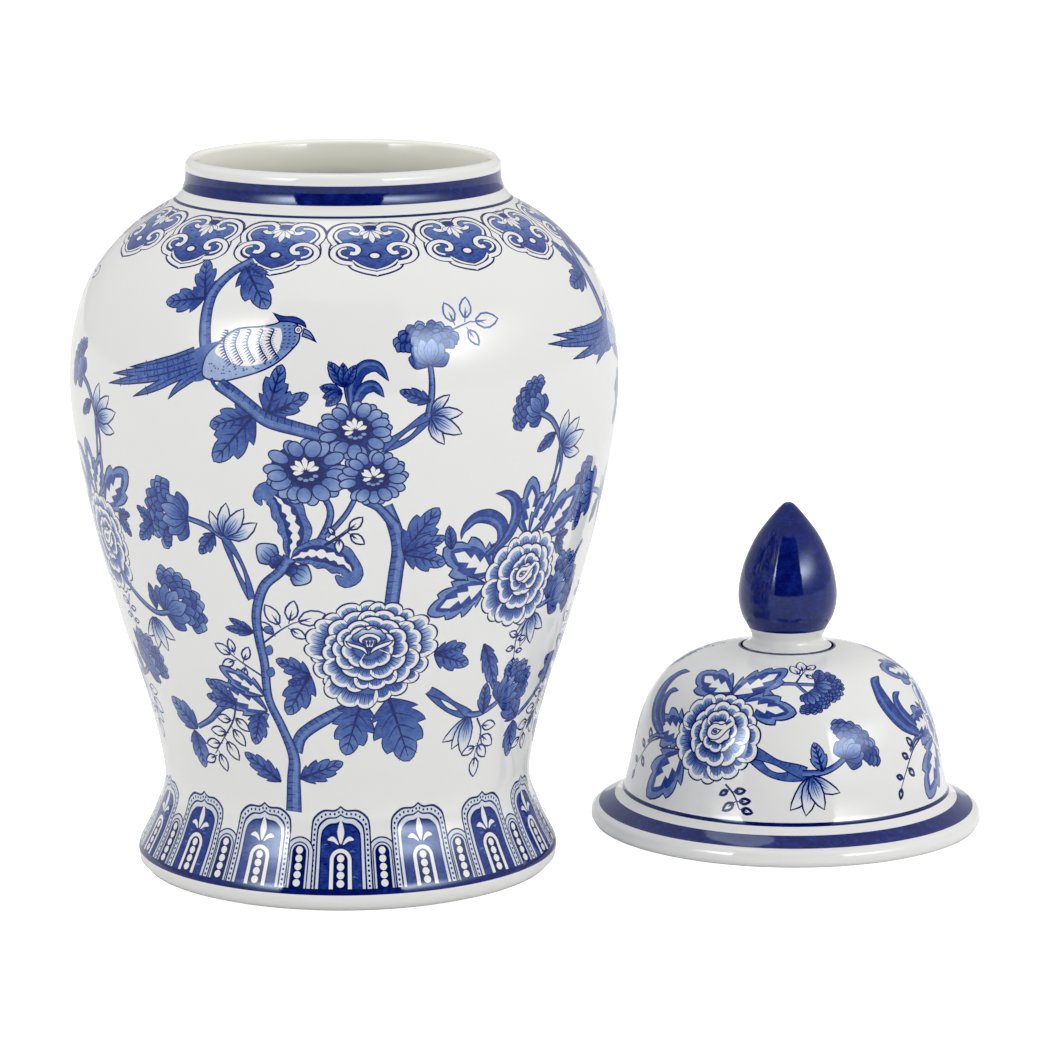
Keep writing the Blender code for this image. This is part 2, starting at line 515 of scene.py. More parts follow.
def lid_inner():
    dome = inner_line(DOME_STATIONS, DOME_WALL)
    dome = dome[dome[:, 1] > 20.0]
    under = [(85.0, 0.0), (82.6, 0.0), (81.6, 0.6), (80.4, 3.4), (78.2, 7.6), (77.0, 8.5),
             (61.4, 8.5), (60.4, 7.6), (60.4, 2.0), (59.6, 1.2), (57.3, 1.2), (56.5, 2.0),
             (57.1, 8.5), (62.5, 14.5)]
    return np.vstack([under, smooth([(62.5, 14.5), *dome[::-1], (0.0, 72.6)], 3.0)])


def finial_outer():
    return smooth([(0.0, 146.0), *BUD_STATIONS, (18.2, 82.1), (19.8, 81.8), (20.0, 81.2)], 1.0)


# ---- materials


def colour(red, green, blue):
    """A colour given in sRGB, 0 to 255, made linear."""
    return tuple(((c / 255 + 0.055) / 1.055) ** 2.4 if c > 10 else c / 255 / 12.92
                 for c in (red, green, blue)) + (1.0,)


class Graph:
    """The nodes of a material or a world, with the shader that they end in."""

    def __init__(self, owner, shader):
        owner.use_nodes = True
        self.tree = owner.node_tree
        self.shader = self.tree.nodes[shader]

    def plug(self, socket, value):
        """Link another node's output to a socket, or set a plain value on the socket itself."""
        if hasattr(value, "links"):
            self.tree.links.new(value, socket)
        else:
            socket.default_value = value

    def into(self, name, value):
        """Plug a value into the shader."""
        self.plug(self.shader.inputs[name], value)

    def node(self, kind, **settings):
        """The outputs of a new node, from values for its sockets and its properties."""
        made = self.tree.nodes.new("ShaderNode" + kind)
        for key, value in settings.items():
            if key in made.inputs:
                self.plug(made.inputs[key], value)
            else:
                setattr(made, key, value)
        return made.outputs

    def noise(self, scale, detail=3.0, roughness=0.55, stretch=(1.0, 1.0, 1.0)):
        """Noise on the object's own metres."""
        place = self.node("Mapping", Vector=self.node("TexCoord")["Object"], Scale=stretch)["Vector"]
        return self.node("TexNoise", Vector=place, Scale=scale, Detail=detail,
                         Roughness=roughness)["Fac"]

    def math(self, kind, *values, clamp=False):
        """The result of one operation on some values."""
        made = self.tree.nodes.new("ShaderNodeMath")
        made.operation = kind
        made.use_clamp = clamp
        for socket, value in zip(made.inputs, values):
            self.plug(socket, value)
        return made.outputs["Value"]

    def times(self, first, second, plus=0.0, clamp=False):
        """The product of two values, plus a third."""
        return self.math("MULTIPLY_ADD", first, second, plus, clamp=clamp)

    def bell(self, value):
        """1 where the value is 0, fading to 0 on both sides of it."""
        return self.math("EXPONENT", self.times(self.times(value, value), -1.0))

    def ramp(self, value, *stops):
        """Colours along a value, from (position, colour) stops."""
        made = self.tree.nodes.new("ShaderNodeValToRGB")
        elements = made.color_ramp.elements
        while len(elements) < len(stops):
            elements.new(0.5)
        for element, (position, tint) in zip(elements, stops):
            element.position = position
            element.color = tint
        self.plug(made.inputs["Fac"], value)
        return made.outputs["Color"]

    def bump(self, height, strength, distance):
        """Raise the shader's surface by a height, as seen in its shading."""
        self.into("Normal", self.node("Bump", Height=height, Strength=strength,
                                      Distance=distance)["Normal"])


def new_material(name):
    """A material, and the graph that ends in its shader."""
    material = bpy.data.materials.new(name)
    return material, Graph(material, "Principled BSDF")


def glaze_surface(graph):
    """The glaze's own skin: a slow orange-peel ripple, fine dimples and patchy polish."""
    graph.bump(graph.times(graph.noise(900.0, 2.0), 0.06, graph.noise(45.0, 2.0)), 0.35, 0.00048)
    graph.into("Roughness", graph.times(graph.noise(18.0, 4.0), 0.07, 0.02))
    graph.into("IOR", GLAZE_IOR)


def painted_glaze(name):
    """White porcelain with cobalt painting under clear glaze: washes pool and streak."""
    material, graph = new_material(name)
    cobalt = graph.node("Attribute", attribute_name="cobalt")["Fac"]
    pool = graph.times(graph.noise(260.0, 4.0, 0.6), 0.55, -0.275)
    streak = graph.times(graph.noise(520.0, 3.0, 0.6, (1.0, 1.0, 3.2)), 0.4, -0.2)
    wander = graph.math("ADD", graph.math("ADD", pool, streak), 1.0)
    washed = graph.times(cobalt, wander, clamp=True)
    graph.into("Base Color", graph.ramp(
        washed, (0.0, colour(224, 224, 222)), (0.2, colour(172, 188, 212)),
        (0.4, colour(116, 140, 188)), (0.56, colour(72, 100, 162)), (0.72, colour(34, 59, 136)),
        (0.86, colour(12, 30, 110)), (1.0, colour(1, 11, 85))))
    glaze_surface(graph)
    # Light coming back off the painting has been through cobalt, so its sheen is blue.
    graph.into("Specular Tint", graph.ramp(washed, (0.0, WHITE), (0.6, (0.74, 0.88, 1.0, 1.0))))
    return material


def plain_glaze(name, tint, shade):
    """Unpainted glaze that drifts between two close tints, with a few iron specks."""
    material, graph = new_material(name)
    speck = graph.math("GREATER_THAN", graph.noise(700.0, 1.0), 0.79)
    value = graph.times(speck, 0.25, graph.noise(14.0, 4.0), clamp=True)
    graph.into("Base Color", graph.ramp(value, (0.3, tint), (0.75, shade),
                                        (1.0, colour(150, 142, 128))))
    glaze_surface(graph)
    return material


def bare_clay(name):
    """The unglazed foot: warm, dry and slightly gritty."""
    material, graph = new_material(name)
    grit, stain = graph.noise(1400.0, 3.0), graph.noise(60.0, 4.0)
    value = graph.times(grit, 0.4, graph.times(stain, 0.6))
    graph.into("Base Color", graph.ramp(value, (0.3, colour(196, 180, 158)),
                                        (0.7, colour(226, 216, 200))))
    graph.bump(grit, 0.5, 0.0003)
    graph.into("Roughness", graph.times(stain, 0.2, 0.6))
    return material


# ---- studio


def make_floor():
    """Pale paper. The camera sees it burnt out to white, as in a packshot; its bounce stays soft."""
    bpy.ops.mesh.primitive_plane_add(size=40.0)
    floor = bpy.context.object
    floor.name = "floor"
    material, graph = new_material("floor_paper")
    graph.into("Base Color", graph.ramp(graph.noise(400.0, 3.0), (0.3, colour(238, 238, 238)),
                                        (0.7, colour(243, 243, 243))))
    graph.into("Roughness", 0.8)
    graph.into("Specular IOR Level", 0.2)
    graph.into("Emission Color", WHITE)
    graph.into("Emission Strength", graph.node("LightPath")["Is Camera Ray"])
    floor.data.materials.append(material)


def make_room():
    """White surroundings with a darker gap on the near side, and a soft box."""
    scene = bpy.context.scene
    scene.view_settings.view_transform = "Standard"
    scene.world = bpy.data.worlds.new("white_room")
    graph = Graph(scene.world, "Background")
    way = graph.node("SeparateXYZ", Vector=graph.node("TexCoord")["Generated"])
    bearing = graph.math("ARCTAN2", way["X"], graph.times(way["Y"], -1.0))
    bearing = graph.times(bearing, 180.0 / math.pi)
    rise = graph.times(graph.math("ARCSINE", way["Z"]), 180.0 / math.pi)
    gap = graph.times(graph.math("LESS_THAN", graph.math("ABSOLUTE", bearing), GAP_HALF),
                      graph.math("LESS_THAN", rise, GAP_TOP))
    strength = graph.times(gap, GAP_LIGHT - ROOM_LIGHT, ROOM_LIGHT)
    for inner, spread, middle, tall, extra in GLOWS:
        out = graph.times(bearing, math.copysign(1.0 / spread, inner), -abs(inner) / spread)
        level = graph.times(rise, 1.0 / tall, -middle / tall)
        beyond = graph.times(graph.bell(out), graph.math("GREATER_THAN", out, 0.0))
        strength = graph.times(graph.times(beyond, graph.bell(level)), extra, strength)
    # Shading sees an even white tent, a little brighter on the right; the glaze mirrors the rest.
    tent = graph.times(way["X"], TENT_LIGHT * TENT_SLANT, TENT_LIGHT)
    glossy = graph.node("LightPath")["Is Glossy Ray"]
    graph.into("Color", WHITE)
    graph.into("Strength", graph.times(glossy, graph.math("SUBTRACT", strength, tent), tent))

    light = bpy.data.lights.new("soft_box_top", "AREA")
    light.size = BOX_SIDE
    light.energy = BOX_WATTS
    box = bpy.data.objects.new("soft_box_top", light)
    box.location = BOX_PLACE
    box.rotation_euler = (Vector(BOX_AIM) - Vector(BOX_PLACE)).to_track_quat("-Z", "Y").to_euler()
    bpy.context.collection.objects.link(box)


def camera():
    data = bpy.data.cameras.new("camera")
    data.sensor_width = 36.0
    data.lens = EYE_LENS
    data.clip_end = 100.0
    eye = bpy.data.objects.new("camera", data)
    eye.location = EYE_PLACE
    eye.rotation_euler = (math.radians(90.0 - EYE_DOWN), 0.0, 0.0)
    bpy.context.collection.objects.link(eye)
    bpy.context.scene.camera = eye


# ---- borders


def ruyi(art, degrees, height):
    """One cloud-collar lappet: four banded scrolls and a tip round a palmette and a pearl."""
    brush = art.brush(degrees, height)
    half = [
        [(0, -1.2), (3.6, -1.6), (6.4, -1.2), (10.4, -1.4), (14.0, -3.4), (15.6, -7.8), (13.4, -13.4)],
        [(13.4, -13.4), (14.2, -17.6), (13.4, -21.6), (8.2, -24.6)],
        [(8.2, -24.6), (6.8, -26.8), (3.8, -28.6), (0, -30.0)],
    ]
    whole = chain(*half, *[[(-x, y) for x, y in run[::-1]] for run in half[::-1]], step=1.0)
    brush.fill(inset(whole, -1.5), INK)
    brush.fill(inset(whole, -0.9), BARE)
    brush.fill(inset(whole, 0.9), fade((0, -2), (0, -30), MID - 0.08, DARK + 0.06))
    rng = np.random.default_rng(int(degrees) % 97)
    for x, y in rng.uniform((-9.0, -23.0), (9.0, -9.0), (22, 2)):
        brush.line([(x - 1.2, y + 0.5), (x, y), (x + 1.2, y + 0.5)], 0.7, DEEP, (0.3, 0.3))

    def band(points, white, ink=0.52):
        for side in (-1, 1):
            line = smooth(np.array(points) * (side, 1.0), 0.8)
            brush.strip(line, white + ink, BARE, ink)

    band([(11.2, -13.0), (13.2, -9.8), (12.9, -6.6), (10.6, -4.5), (7.4, -4.2)], 0.5, 0.4)
    band([(13.4, -14.4), (15.2, -10.6), (15.3, -7.4), (13.4, -3.6), (10.0, -1.7), (6.2, -1.4),
          (3.7, -2.9), (3.1, -5.4), (4.5, -7.5), (6.8, -7.3), (7.8, -6.2)], 0.92)
    band([(9.0, -21.8), (11.2, -20.6), (12.0, -18.6), (11.2, -16.9), (9.4, -16.3)], 0.45, 0.4)
    band([(7.6, -23.0), (5.4, -25.4), (3.0, -27.0), (0, -28.2)], 0.4, 0.4)
    band([(8.2, -24.4), (7.0, -26.6), (3.8, -28.5), (0, -29.8)], 0.8)
    band([(7.6, -24.6), (11.4, -23.6), (13.8, -20.8), (13.8, -17.6), (11.8, -15.1), (8.6, -14.2),
          (6.2, -15.4), (5.4, -17.4), (6.4, -19.3), (8.2, -19.1)], 0.92)
    brush.line([(-3.0, -1.6), (0, -1.3), (3.0, -1.6)], 1.9, INK, (0.7, 0.7))
    brush.line([(-2.8, -1.6), (0, -1.3), (2.8, -1.6)], 0.9, BARE, (0.7, 0.7))
    brush.fill(arc((0, -3.4), (2.8, 1.7), 0, 345, 23), DEEP)
    for angle, length in ((-62, 5.4), (62, 5.4), (-30, 6.6), (30, 6.6), (0, 8.4)):
        petal = turn(petal_shape(2.8, length, 0.62), 180 + angle) + (0, -5.4)
        brush.outlined(petal, BARE, 0.3, DEEP)
    brush.fill(arc((0, -20.6), (2.5, 2.1), 0, 330, 11), INK)
    brush.fill(arc((0, -20.6), (1.6, 1.3), 0, 330, 11), BARE)


def arched(width, height, point=0.0):
    """An arch standing on y = 0: round, or with flat shoulders and a point."""
    w = width / 2
    if not point:
        return np.vstack([[(w, 0)], arc((0, height - w), (w, w), 0, 180, 18), [(-w, 0)]])
    spring, bend, top = height * 0.73, height * 0.8515, height * 0.946
    right = chain([(w, 0), (w, spring)], [(w, spring), (0.93 * w, bend), (0.6 * w, top),
                                          (0.2 * w, height - point), (0, height)], step=1.2)
    return np.vstack([right, [(0, height)], (right * (-1, 1))[:0:-1], [(-w, 0)]])


def panel(art, degrees, height, width, tall):
    """A pointed arch with a dotted border, a white fleur and a small pearled arch."""
    brush = art.brush(degrees, height)
    for less, lower, point, tone in ((0.0, 0.0, 1.8, INK), (1.5, 1.0, 1.7, 0.1),
                                     (5.4, 3.6, 1.3, INK), (6.9, 4.4, 1.2, 0.1),
                                     (9.4, 6.4, 1.0, INK), (10.6, 7.2, 1.0, DARK + 0.06)):
        brush.fill(arched(width - less, tall - lower, point), tone)
    track = arched(width - 3.4, tall - 2.2, 1.5)
    gaps = np.append(0.0, np.cumsum(np.hypot(*np.diff(track, axis=0).T)))
    for at in np.arange(1.5, gaps[-1] - 1.0, 2.2):
        spot = (np.interp(at, gaps, track[:, 0]), np.interp(at, gaps, track[:, 1]))
        brush.fill(arc(spot, (0.52, 0.62), 0, 315, 7), INK)
    rng = np.random.default_rng(int(degrees))
    side = (width - 11.6) / 2
    for _ in range(26):
        x, y = rng.uniform(-side, side - 3.0), rng.uniform(1.0, 0.72 * tall)
        wave = [(x, y), (x + 1.2, y + rng.uniform(-0.5, 0.9)), (x + rng.uniform(2.0, 3.0), y)]
        brush.line(smooth(wave, 0.8), 0.9, rng.choice([INK, INK, DEEP, MID]), (0.3, 0.2))
    middle = 0.58 * tall
    spear = mirrored([(0, -1.4), (1.5, 2.6), (1.3, 5.6), (0, 8.8)])
    brush.blob(spear + (0, middle), BARE, 0.8)
    barb = np.array([(1.0, -1.7), (2.2, 0.8), (4.2, 1.9), (6.2, 0.4), (3.6, -0.2)])
    for side in (-1, 1):
        brush.blob(barb * (side, 1) + (0, middle), BARE, 0.8)
    pearled(brush, 10.6, 0.5 * tall, 4, ((0.0, INK), (0.8, BARE), (4.2, INK)))


def pearled(brush, width, tall, pearls, bands):
    """A round arch round a column of white pearls. Bands are (narrower by, tone)."""
    for less, tone in bands:
        brush.fill(arched(width - less, tall - less / 2), tone)
    column = width - bands[-1][0]
    pitch = (tall - bands[-1][0] / 2 - 1.4) / pearls
    size = min(0.46 * pitch, 0.36 * column)
    for k in range(pearls):
        brush.fill(arc((0, 0.8 + pitch * (k + 0.5)), (size, size), 0, 330, 11), BARE)


def small_panel(art, degrees, height, width, tall):
    """A narrow pearled arch between two panels."""
    pearled(art.brush(degrees, height), width, tall, 5,
            ((0.0, INK), (1.3, 0.1), (4.4, INK), (5.5, 0.1), (7.0, INK)))


def jar_borders(art):
    """The rim's band, the cloud collar, and the arched panels round the foot."""
    run_at = art.surface.run_at
    art.band(run_at(304.8), run_at(296.8), 0.95)
    art.band(run_at(292.9), run_at(292.0), INK)
    for k in range(LAPPETS):
        ruyi(art, -2.8 + 180 / LAPPETS * (2 * k + 1), 290.6)
    pitch = 360.0 / PANELS
    for k in range(PANELS):
        small_panel(art, pitch * (k + 0.5), PANEL_FOOT, 13.6, 22.5)
        panel(art, pitch * k, PANEL_FOOT, 28.4, 36.0)
    art.band(run_at(10.9), run_at(8.3), 0.95)


def lid_borders(art):
    """Rings round the finial's seat, the foot of the dome and the brim."""
    radius = art.surface.profile[:, 0]
    run = art.surface.run
    widest = np.argmax(radius)
    for inner, outer, tone in ((21.0, 21.9, 0.9), (73.0, 73.8, INK), (77.2, 84.4, 0.93)):
        top, bottom = np.interp((inner, outer), radius[:widest], run[:widest])
        art.band(top, bottom, tone)


# ---- stems and leaves


def stalk(art, places, widths):
    """A shaded stem with a dark edge."""
    brush, line, share = art.flow(places, 1.4)
    half = np.interp(share, np.linspace(0.0, 1.0, len(widths)), widths) / 2
    brush.strip(line, half, MID + 0.08, 0.6)
    brush.ribbon(line, half * 0.36, MID - 0.06, shift=-half[:, None] * 0.2)
    return brush, line, half


def stem(art, places, widths):
    """A stalk with short strokes across its left side."""
    brush, line, half = stalk(art, places, widths)
    reach = half * np.where(np.arange(len(line)) % 4 == 1, 1.15, 0.8)
    brush.hatch(line, half, reach, range(1, len(line) - 1, 2), 0.3, 0.75, DEEP)


def twist(art, places, width, opening):
    """A stem that parts into two strands and closes again round an open eye."""
    brush, line, share = art.flow(places, 1.4)
    bow = sideways(line) * (np.sin(np.pi * share) * opening * 0.44)[:, None]
    half = width * 0.6 * (0.75 + 0.25 * np.cos(2 * np.pi * share))
    for side in (-1, 1):
        strand = line + bow * side
        brush.strip(strand, half, MID + 0.06, 0.5)
        brush.hatch(strand, half, half, range(2, len(line) - 1, 3), 0.0, 0.4, DEEP)


def leaf_outline(length, width, teeth, depth, lean=0.0):
    """A pointed leaf from (0, 0) to (0, length) with forward-pointing teeth, leaning sideways."""
    side = []
    for k in range(teeth):
        for u in (0.05, 0.3, 0.55, 0.8, 1.0):
            t = (k + u) / teeth
            full = math.sin(math.pi * min(1.0, t) ** 0.82) ** 0.75 if t < 1.0 else 0.0
            reach = width / 2 * full * (1.0 - depth * (1.0 - u) ** 1.6)
            side.append((reach + 0.05, length * (t + 0.02 * u)))
    return bent(mirrored([(0.0, 0.0), *side[:-1], (0.0, length)]), length, lean)


def bent(points, length, lean):
    points = np.array(points, float)
    points[:, 0] += lean * length * np.sin(np.pi * np.clip(points[:, 1] / length, 0.0, 1.0))
    return points


def leaf(art, base, tips, wide=0.5, teeth=3, depth=0.3, tones=(DARK, LIGHT + 0.1)):
    """A dark leaf of one or more toothed lobes from one base, with a midrib and side veins."""
    lobes = [art.aim(base, tip) for tip in tips]
    outlines = [leaf_outline(length, length * wide, teeth, depth) for _, length in lobes]
    for (brush, _), outline in zip(lobes, outlines):
        brush.fill(outline, INK)
    for (brush, length), outline in zip(lobes, outlines):
        brush.fill(inset(outline, EDGE * 0.8), fade((0.0, 0.1 * length), (0.0, length), *tones))
    for brush, length in lobes:
        brush.line([(0.0, y * length) for y in np.linspace(0.0, 0.93, 8)], 0.95, INK, (1.6, 0.3))
        for k, y in enumerate((0.24, 0.42, 0.6, 0.76)):
            for side in (-1, 1):
                reach = side * wide * length * (0.3 - 0.04 * k)
                vein = [(0.0, y * length), (reach * 0.5, (y + 0.07) * length),
                        (reach, (y + 0.17) * length)]
                brush.line(smooth(vein, 1.0), 0.75, DEEP, (1.2, 0.2))


def pale_leaf(art, base, tip, wide=0.6, teeth=3, depth=0.3):
    """A leaf with a light margin, a dark band inside it and a white feathered heart."""
    brush, length = art.aim(base, tip)
    brush.outlined(leaf_outline(length, length * wide, teeth, depth), LIGHT + 0.08, EDGE + 0.1)
    middle = leaf_outline(length * 0.84, length * wide * 0.62, teeth, depth * 0.6)
    brush.fill(middle + (0.0, 0.02 * length), DARK)
    right = []
    for k in range(3):
        t = 0.12 + 0.18 * k
        reach = 0.15 * wide * length * (1.2 - 0.22 * k)
        right += [(0.35 * reach, length * t), (reach, length * (t + 0.17))]
    brush.fill(mirrored([(0.0, 0.04 * length), *right, (0.0, 0.78 * length)]), BARE)


def swept_leaf(art, places, width):
    """A leaf along a curving midrib whose tip may curl, wavy at the edges, white at the heart."""
    brush, line, share = art.flow(places, 1.2)
    half = width / 2 * np.sin(np.pi * np.clip(share, 0.0, 1.0) ** 0.8) ** 0.8 + 0.5
    half *= 1.0 + 0.09 * np.sin(share * 26.0)
    brush.strip(line, half, MID, 0.5)
    keep = share < 0.74
    flame = half * np.interp(share, (0, 0.12, 0.5, 0.74), (0.1, 0.3, 0.32, 0.04))
    brush.ribbon(line[keep], (flame * 1.35 + 0.9)[keep], DEEP)
    brush.ribbon(line[keep], (flame * (0.75 + 0.35 * np.sin(share * 60.0)))[keep], BARE)
    brush.hatch(line, half - 0.7, half * 0.24, range(3, int(0.9 * len(line)), 2), 1.4, 0.42, DARK,
                (1.3, 0.3), (-1, 1))


def horn(art, places, width):
    """A dark curling tendril, fullest past its middle, with a paler streak along one side."""
    brush, line, share = art.flow(places, 1.0)
    half = width / 2 * np.interp(share, (0, 0.25, 0.6, 0.85, 1), (0.4, 0.9, 1.0, 0.6, 0.06))
    brush.strip(line, half, DARK, 0.5)
    brush.ribbon(line, half * 0.22, MID, shift=half[:, None] * 0.3)


def sprig(art, stalk, leaves, ink=DEEP, edge=0.85):
    """Small white leaves in thin outline on a hair stalk: (joint, tip) for each leaf."""
    brush, line, _ = art.flow(stalk, 1.2)
    brush.line(line, 0.8, ink, (1.2, 0.6))
    for joint, tip in leaves:
        petal, length = art.aim(joint, tip)
        petal.line([(0.0, -0.2), (0.0, 0.3 * length)], 0.5, ink)
        outline = leaf_outline(length * 0.95, length * 0.58, 1, 0.0) + (0.0, 0.12 * length)
        petal.outlined(outline, BARE, edge, ink)
        petal.line([(0.0, 0.18 * length), (0.0, 0.6 * length)], 0.9, ink, (1.4, 0.2))
        petal.line([(0.0, 0.3 * length), (0.12 * length, 0.5 * length)], 0.6, ink, (1.0, 0.2))


# ---- flowers


def petal_shape(width, length, blunt=0.55):
    """A petal from (0, 0) that is widest at `blunt` of its length."""
    right = [(0.0, 0.0), (0.31, 0.25), (0.5, blunt), (0.275, 0.86), (0.0, 1.0)]
    return smooth(mirrored(right) * (width, length), 1.2, closed=True)


def lotus(art, base, tips):
    """A half-open flower: pointed petals from one base, veined and paler to the tips."""
    wide = 0.42
    reaches = [art.aim(base, tip) for tip in tips]
    middle = (len(tips) - 1) / 2
    order = sorted(range(len(tips)), key=lambda k: -abs(k - middle))
    for k in order:
        brush, length = reaches[k]
        outline = leaf_outline(length, length * wide, 1, 0.0, 0.05 * (k - middle))
        brush.outlined(outline, rising(0.72 * length, MID + 0.04, 0.03), 0.76, INK)
        for x in (-0.22, -0.08, 0.08, 0.22):
            vein = [(x * 0.2 * wide * length, 0.05 * length), (x * wide * length, 0.4 * length),
                    (x * 0.9 * wide * length, (0.72 - abs(x)) * length)]
            brush.line(bent(smooth(vein, 1.4), length, 0.05 * (k - middle)), 0.5, DARK, (1.2, 0.2))


def aster(art, base, crown, width, seed):
    """A thistle-like head from the side: rows of short florets over longer, paler sepals."""
    brush, length = art.aim(base, crown)
    rng = np.random.default_rng(seed)
    rows = [(0.98, 8, 62, 0.26), (0.86, 8, 66, 0.27), (0.72, 7, 66, 0.28), (0.58, 6, 60, 0.3)]
    sized = width / length
    for reach, count, span, size in rows:
        for angle in np.linspace(-span, span, count) + rng.uniform(-4, 4, count):
            shape = petal_shape(0.23 * width, size * length, 0.6)
            out = math.radians(angle)
            heart = np.array([math.sin(out) * sized * 0.62, 0.26 + math.cos(out) * 0.62]) * length
            root = np.array([0.0, 0.22 * length]) + (heart - (0.0, 0.22 * length)) * (reach - size * 0.6)
            level = rng.uniform(0.0, 0.2)
            wash = fade(root, heart * 1.1, DEEP + 0.08 - level, MID - level)
            brush.outlined(turn(shape, -angle * 0.9) + root, wash, 0.5)
    for angle, size in ((-66, 0.52), (66, 0.52), (-40, 0.6), (38, 0.6), (-14, 0.62), (12, 0.62)):
        petal = turn(petal_shape(0.3 * width, size * length, 0.56), -angle)
        brush.outlined(petal, rising(0.6 * length, DARK, LIGHT), 0.5)
        for x in (-0.07, 0.0, 0.07):
            rib = turn([(x * width * 0.3, 0.1 * length), (x * width, 0.3 * length),
                        (x * width, (size - 0.14) * length)], -angle)
            brush.line(smooth(rib, 1.5), 0.36, DARK, (1.0, 0.3))


def rosette(art, centre, half_width, half_height, seed):
    """A round flower: a frill of round petals about a dark eye with white stamens."""
    brush = art.brush(*centre)
    rng = np.random.default_rng(seed)
    size = np.array([half_width, half_height])
    brush.fill(arc((0, 0), size * 0.86, 0, 345, 23), DEEP)
    count = 13
    for row, (far, grow) in enumerate(((0.8, 1.0), (0.74, 1.06))):
        for k in rng.permutation(count)[: count if row == 0 else count - 4]:
            angle = 360.0 * (k + 0.5 * row) / count + rng.uniform(-6, 6)
            lobe = arc((0, 0), (0.19 * grow, 0.27), 0, 345, 23) * rng.uniform(0.94, 1.08)
            lobe = turn(lobe + (0, far - 0.04), angle) * size
            heart = turn([(0.0, 0.5)], angle)[0] * size
            brush.outlined(lobe, fade(heart, heart * 1.7, MID, LIGHT + rng.uniform(-0.06, 0.02)), 0.62)
    turns = np.arange(0, 360, 10)
    eye = arc((0, 0), size * 0.44, 0, 350, 35) * (1.0 + 0.1 * np.sin(np.radians(turns * 9)))[:, None]
    brush.fill(eye, INK)
    for angle, length in ((92, 0.38), (64, 0.32), (126, 0.36), (154, 0.34), (196, 0.26), (24, 0.28)):
        drop = petal_shape(0.14, length, 0.72) + (0.0, 0.06)
        brush.fill(turn(drop, angle - 90 + rng.uniform(-6, 6)) * size, BARE)
    for angle in (236, 268, 300, 332):
        spot = polar(math.radians(angle)) * size * 0.25
        brush.fill(arc(spot, size * (0.07, 0.05), 0, 300, 6), LIGHT)


def fan(radii, first, last, scallops, trim=0.0, lobe=0.08):
    """Outline of a scalloped petal from the centre out, over a span of degrees."""
    u = np.linspace(-1.0, 1.0, 10 * scallops + 1)
    angle = np.radians((first + last) / 2 + (last - first) / 2 * u)
    bump = np.abs(np.sin(np.pi * scallops * (u + 1.0) / 2)) ** 0.6
    reach = (1.0 - lobe + lobe * bump) * (1.0 - 0.15 * u**4)
    rim = polar(angle) * reach[:, None] * radii
    far = np.hypot(*rim.T)
    return np.vstack([[(0.0, 0.0)], rim * np.maximum(1.0 - trim / far, 0.05)[:, None]])


SMALL_RINGS = [(1.0, 7), (0.72, 6), (0.46, 5)]


def peony(art, centre, half_width, half_height, rings, tilt, seed):
    """A full flower: rings of scalloped petals, white at the rim and hatched towards the heart.

    Each ring is (share of the full size, petals); tilt moves the smallest ring off the centre.
    """
    rng = np.random.default_rng(seed)
    base = art.brush(*centre)
    shares = [share for share, _ in rings] + [0.26]
    for level, (share, petals) in enumerate(rings):
        offset = np.array(tilt) * (1.0 - share) / (1.0 - rings[-1][0])
        radii = np.array([half_width, half_height]) * share
        inner = shares[level + 1] / share
        depth = radii.mean() * (1.0 - inner)
        start = rng.uniform(0.0, 360.0)
        step = 360.0 / petals
        for k in rng.permutation(petals):
            first = start + step * (k - 0.16) + rng.uniform(-5, 5)
            last = start + step * (k + 1.16) + rng.uniform(-5, 5)
            grown = radii * (1.0 + rng.uniform(-0.11, 0.04))
            lobes = max(2, round(math.radians(last - first) * radii.mean() / 10.0))
            rim = min(1.7, 0.28 * depth)
            base.fill(fan(grown, first, last, lobes) + offset, INK)
            base.fill(fan(grown, first, last, lobes, 0.8) + offset, BARE)
            tone = glow(offset, radii.min() * inner * 0.95, radii.mean() * 0.96, MID + 0.06, 0.1)
            base.fill(fan(grown, first + 3, last - 3, lobes, 0.8 + rim, 0.12) + offset, tone)
            spacing = math.degrees(1.9 / (radii.mean() * 0.85))
            for i, angle in enumerate(np.radians(np.arange(first + 5, last - 4, spacing / 2))):
                out = polar(angle) * grown
                far = 1.0 - (0.8 + rim + 0.3 * depth * rng.uniform(0.0, 1.0)) / radii.mean()
                ends = np.array([out * max(inner * 0.86, 0.3), out * far]) + offset
                if i % 2:
                    base.line(ends, 0.6, DARK + 0.05, (1.3, 0.25))
                else:
                    base.line([ends[0], ends[0] * 0.45 + ends[1] * 0.55], 0.5, DEEP, (1.2, 0.2))
    return base


